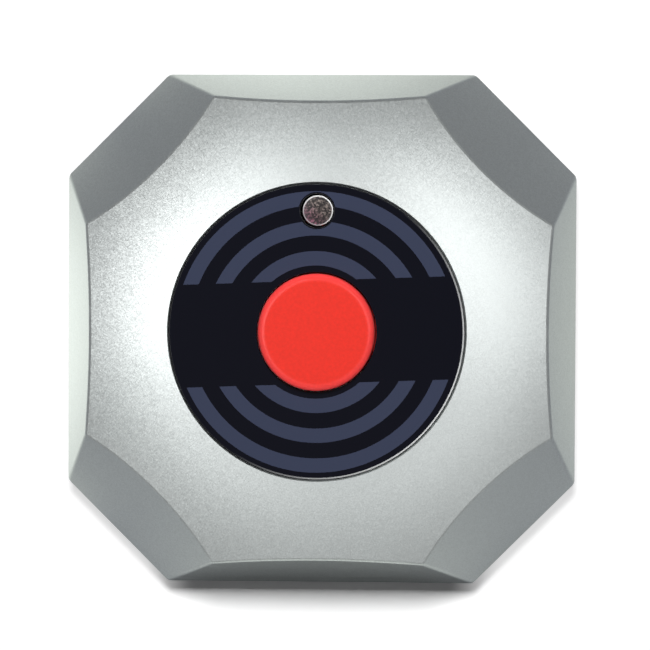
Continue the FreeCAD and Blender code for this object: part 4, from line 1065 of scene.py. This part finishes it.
class CALLBUTTON_OT_stage(bpy.types.Operator):
    """Lays the floor, sets the lamps and places the camera"""

    bl_idname = "callbutton.stage"
    bl_label = "Stage"

    def execute(self, context):
        setup = context.scene.call_studio
        self.lay_floor(setup)
        self.light_sky(context, setup)
        for name, lean, heading, size, power, mirrored in SOFTBOXES:
            lamp = self.hang_lamp(name, lean, heading, size, power * setup.light_level)
            lamp.visible_glossy = mirrored
            lamp.visible_diffuse = not mirrored
        self.place_camera(context, setup)
        context.scene.view_settings.view_transform = "Standard"
        return {"FINISHED"}

    def lay_floor(self, setup):
        """A white floor, clear from below, that keeps the object's shadow near it."""
        bpy.ops.mesh.primitive_plane_add(size=6.0)
        floor = bpy.context.object
        floor.name = "floor"
        material, tree, surface = new_material("floor_white", (FLOOR_WHITE,) * 3, 0.9)
        tree.nodes.remove(surface)
        rays = named(node(tree, "ShaderNodeLightPath"))
        spot = place(tree)
        x, y, _ = axes_of(spot)
        reach = vectors("LENGTH", spot)
        seen = maths("MAXIMUM", rays["Is Camera Ray"], rays["Is Transmission Ray"])
        gain = seen * (setup.floor_gain - FLOOR_WHITE) + FLOOR_WHITE
        matt = result("ShaderNodeBsdfDiffuse", {
            "Color": result("ShaderNodeCombineColor", {"Red": gain, "Green": gain, "Blue": gain})})
        white = result("ShaderNodeEmission", {"Color": (1, 1, 1, 1), "Strength": 1.0}, tree=tree)
        beside = faded(abs(x), SHADOW_BESIDE, (0.0, SHADOW_PALED))
        behind = faded(y, SHADOW_BEHIND, (0.0, SHADOW_PALED))
        pale = maths("MAXIMUM", faded(reach, SHADOW_FAR), maths("MAXIMUM", beside, behind))
        level = self.mirrored_floor(x, y, reach)
        tint = blend(faded(level, TINT_ENDS, kind="LINEAR"), DIM_TINT, BRIGHT_TINT)
        mirrored = result("ShaderNodeEmission", {"Color": tint, "Strength": level})
        shown = self.mix(rays["Is Glossy Ray"], self.mix(seen * pale, matt, white), mirrored)
        below = result("ShaderNodeNewGeometry", {}, output="Backfacing", tree=tree)
        clear = result("ShaderNodeBsdfTransparent", {}, tree=tree)
        whole = self.mix(maths("MAXIMUM", below, rays["Is Shadow Ray"]), shown, clear)
        feed(tree.nodes["Material Output"], Surface=whole)
        material.cycles.emission_sampling = "NONE"
        floor.data.materials.append(material)

    def mix(self, mask, first, second):
        """One shader or the other, by a mask."""
        return result("ShaderNodeMixShader", {0: mask, 1: first, 2: second})

    def mirrored_floor(self, x, y, reach):
        """What the paint mirrors of the floor: near by dark in front, far off dim but for the front."""
        left = x * -1 / reach
        back = y / reach
        facing = abs(left * left - back * back) ** 0.6
        near = facing * (left * NEAR_MORE_LEFT + NEAR_MORE_SIDE) + NEAR_LEVEL
        near = near * faded(back, FRONT_ENDS, (FRONT_SHARE, 1.0))
        far = maths("MAXIMUM", back * -1, 0.0) ** 4 * FAR_MORE_FRONT + FAR_LEVEL
        outside = between(faded(reach, NEAR_ENDS), near, far)
        return between(faded(reach, UNDER_ENDS), UNDER_LEVEL, outside)

    def light_sky(self, context, setup):
        """A broad ring of light round a dim zenith, over a dim horizon; white to the camera."""
        world = bpy.data.worlds.new("studio")
        context.scene.world = world
        world.use_nodes = True
        tree = world.node_tree
        x, y, z = axes_of(result("ShaderNodeTexCoord", {}, output="Generated", tree=tree))
        lean = maths("ARCCOSINE", z) / math.pi
        turn = maths("FRACT", maths("ARCTAN2", y, x) / (2 * math.pi))
        band = self.levels(lean, BAND_STOPS, 180) * y
        ring = self.levels(lean, SKY_STOPS, 180) * (band * -BAND_DEPTH + 1)
        fade = self.levels(lean, FADE_STOPS, 180)
        swing = (self.levels(turn, HEADING_STOPS, 360) - 1) * fade + 1
        soft = maths("MAXIMUM", y, 0.0) * setup.back_fill + setup.front_fill
        rays = named(node(tree, "ShaderNodeLightPath"))
        level = between(rays["Is Glossy Ray"], soft, ring * swing * setup.sky)
        background = tree.nodes["Background"]
        background.inputs["Color"].default_value = (1, 1, 1, 1)
        feed(background, Strength=between(rays["Is Camera Ray"], level, 1.0))
        world.cycles.sampling_method = "NONE"

    def levels(self, share, stops, whole):
        """A level that runs smoothly from stop to stop, each at its share of the whole."""
        level = result("ShaderNodeValToRGB", {"Fac": share})
        ramp = level.socket.node.color_ramp
        ramp.interpolation = "EASE"
        while len(ramp.elements) < len(stops):
            ramp.elements.new(0.5)
        for stop, (degrees, bright) in zip(ramp.elements, stops):
            stop.position = degrees / whole
            stop.color = (bright, bright, bright, 1.0)
        return level

    def hang_lamp(self, name, lean, heading, size, power):
        """A soft square lamp facing the object, leaning from the zenith towards a heading."""
        lean, heading = math.radians(lean), math.radians(heading)
        towards = Vector((math.sin(lean) * math.cos(heading), math.sin(lean) * math.sin(heading),
                          math.cos(lean)))
        data = bpy.data.lights.new(name, "AREA")
        data.shape = "SQUARE"
        data.size = size
        data.energy = power
        lamp = put(name, data)
        lamp.location = towards * SOFTBOX_DISTANCE
        lamp.rotation_mode = "QUATERNION"
        lamp.rotation_quaternion = (-towards).to_track_quat("-Z", "Y")
        return lamp

    def place_camera(self, context, setup):
        """A camera above the object, turned so that the lamp is at the top of the picture."""
        data = bpy.data.cameras.new("camera")
        data.lens = setup.lens
        data.sensor_width = 36.0
        camera = put("camera", data)
        back = (setup.camera_at - setup.aim_at).normalized()
        right = Vector((0.0, 1.0, 0.0)).cross(back).normalized()
        turn = Matrix((right, back.cross(right), back)).transposed().to_4x4()
        roll = Matrix.Rotation(setup.roll, 4, "Z")
        camera.matrix_world = Matrix.Translation(setup.camera_at) @ turn @ roll
        context.scene.camera = camera


# ---- add-on

OPERATORS = (
    CALLBUTTON_OT_case,
    CALLBUTTON_OT_panel,
    CALLBUTTON_OT_cap,
    CALLBUTTON_OT_lamp,
    CALLBUTTON_OT_works,
    CALLBUTTON_OT_stage,
)


class CALLBUTTON_PT_sidebar(bpy.types.Panel):
    """Lists the pieces and their settings"""

    bl_idname = "CALLBUTTON_PT_sidebar"
    bl_label = "Call button"
    bl_space_type = "VIEW_3D"
    bl_region_type = "UI"
    bl_category = "Call button"

    def draw(self, context):
        for operator in OPERATORS:
            self.layout.operator(operator.bl_idname)
        for name, look in LOOKS.items():
            column = self.layout.box().column()
            for field in look.__annotations__:
                column.prop(getattr(context.scene, name), field)


def register():
    for kind in (*LOOKS.values(), *OPERATORS, CALLBUTTON_PT_sidebar):
        bpy.utils.register_class(kind)
    for name, look in LOOKS.items():
        setattr(bpy.types.Scene, name, bpy.props.PointerProperty(type=look))


def unregister():
    for name in LOOKS:
        delattr(bpy.types.Scene, name)
    for kind in reversed((*LOOKS.values(), *OPERATORS, CALLBUTTON_PT_sidebar)):
        bpy.utils.unregister_class(kind)


def main():
    """Builds every piece in turn."""
    register()
    for operator in OPERATORS:
        family, name = operator.bl_idname.split(".")
        getattr(getattr(bpy.ops, family), name)()


if __name__ == "__main__":
    main()
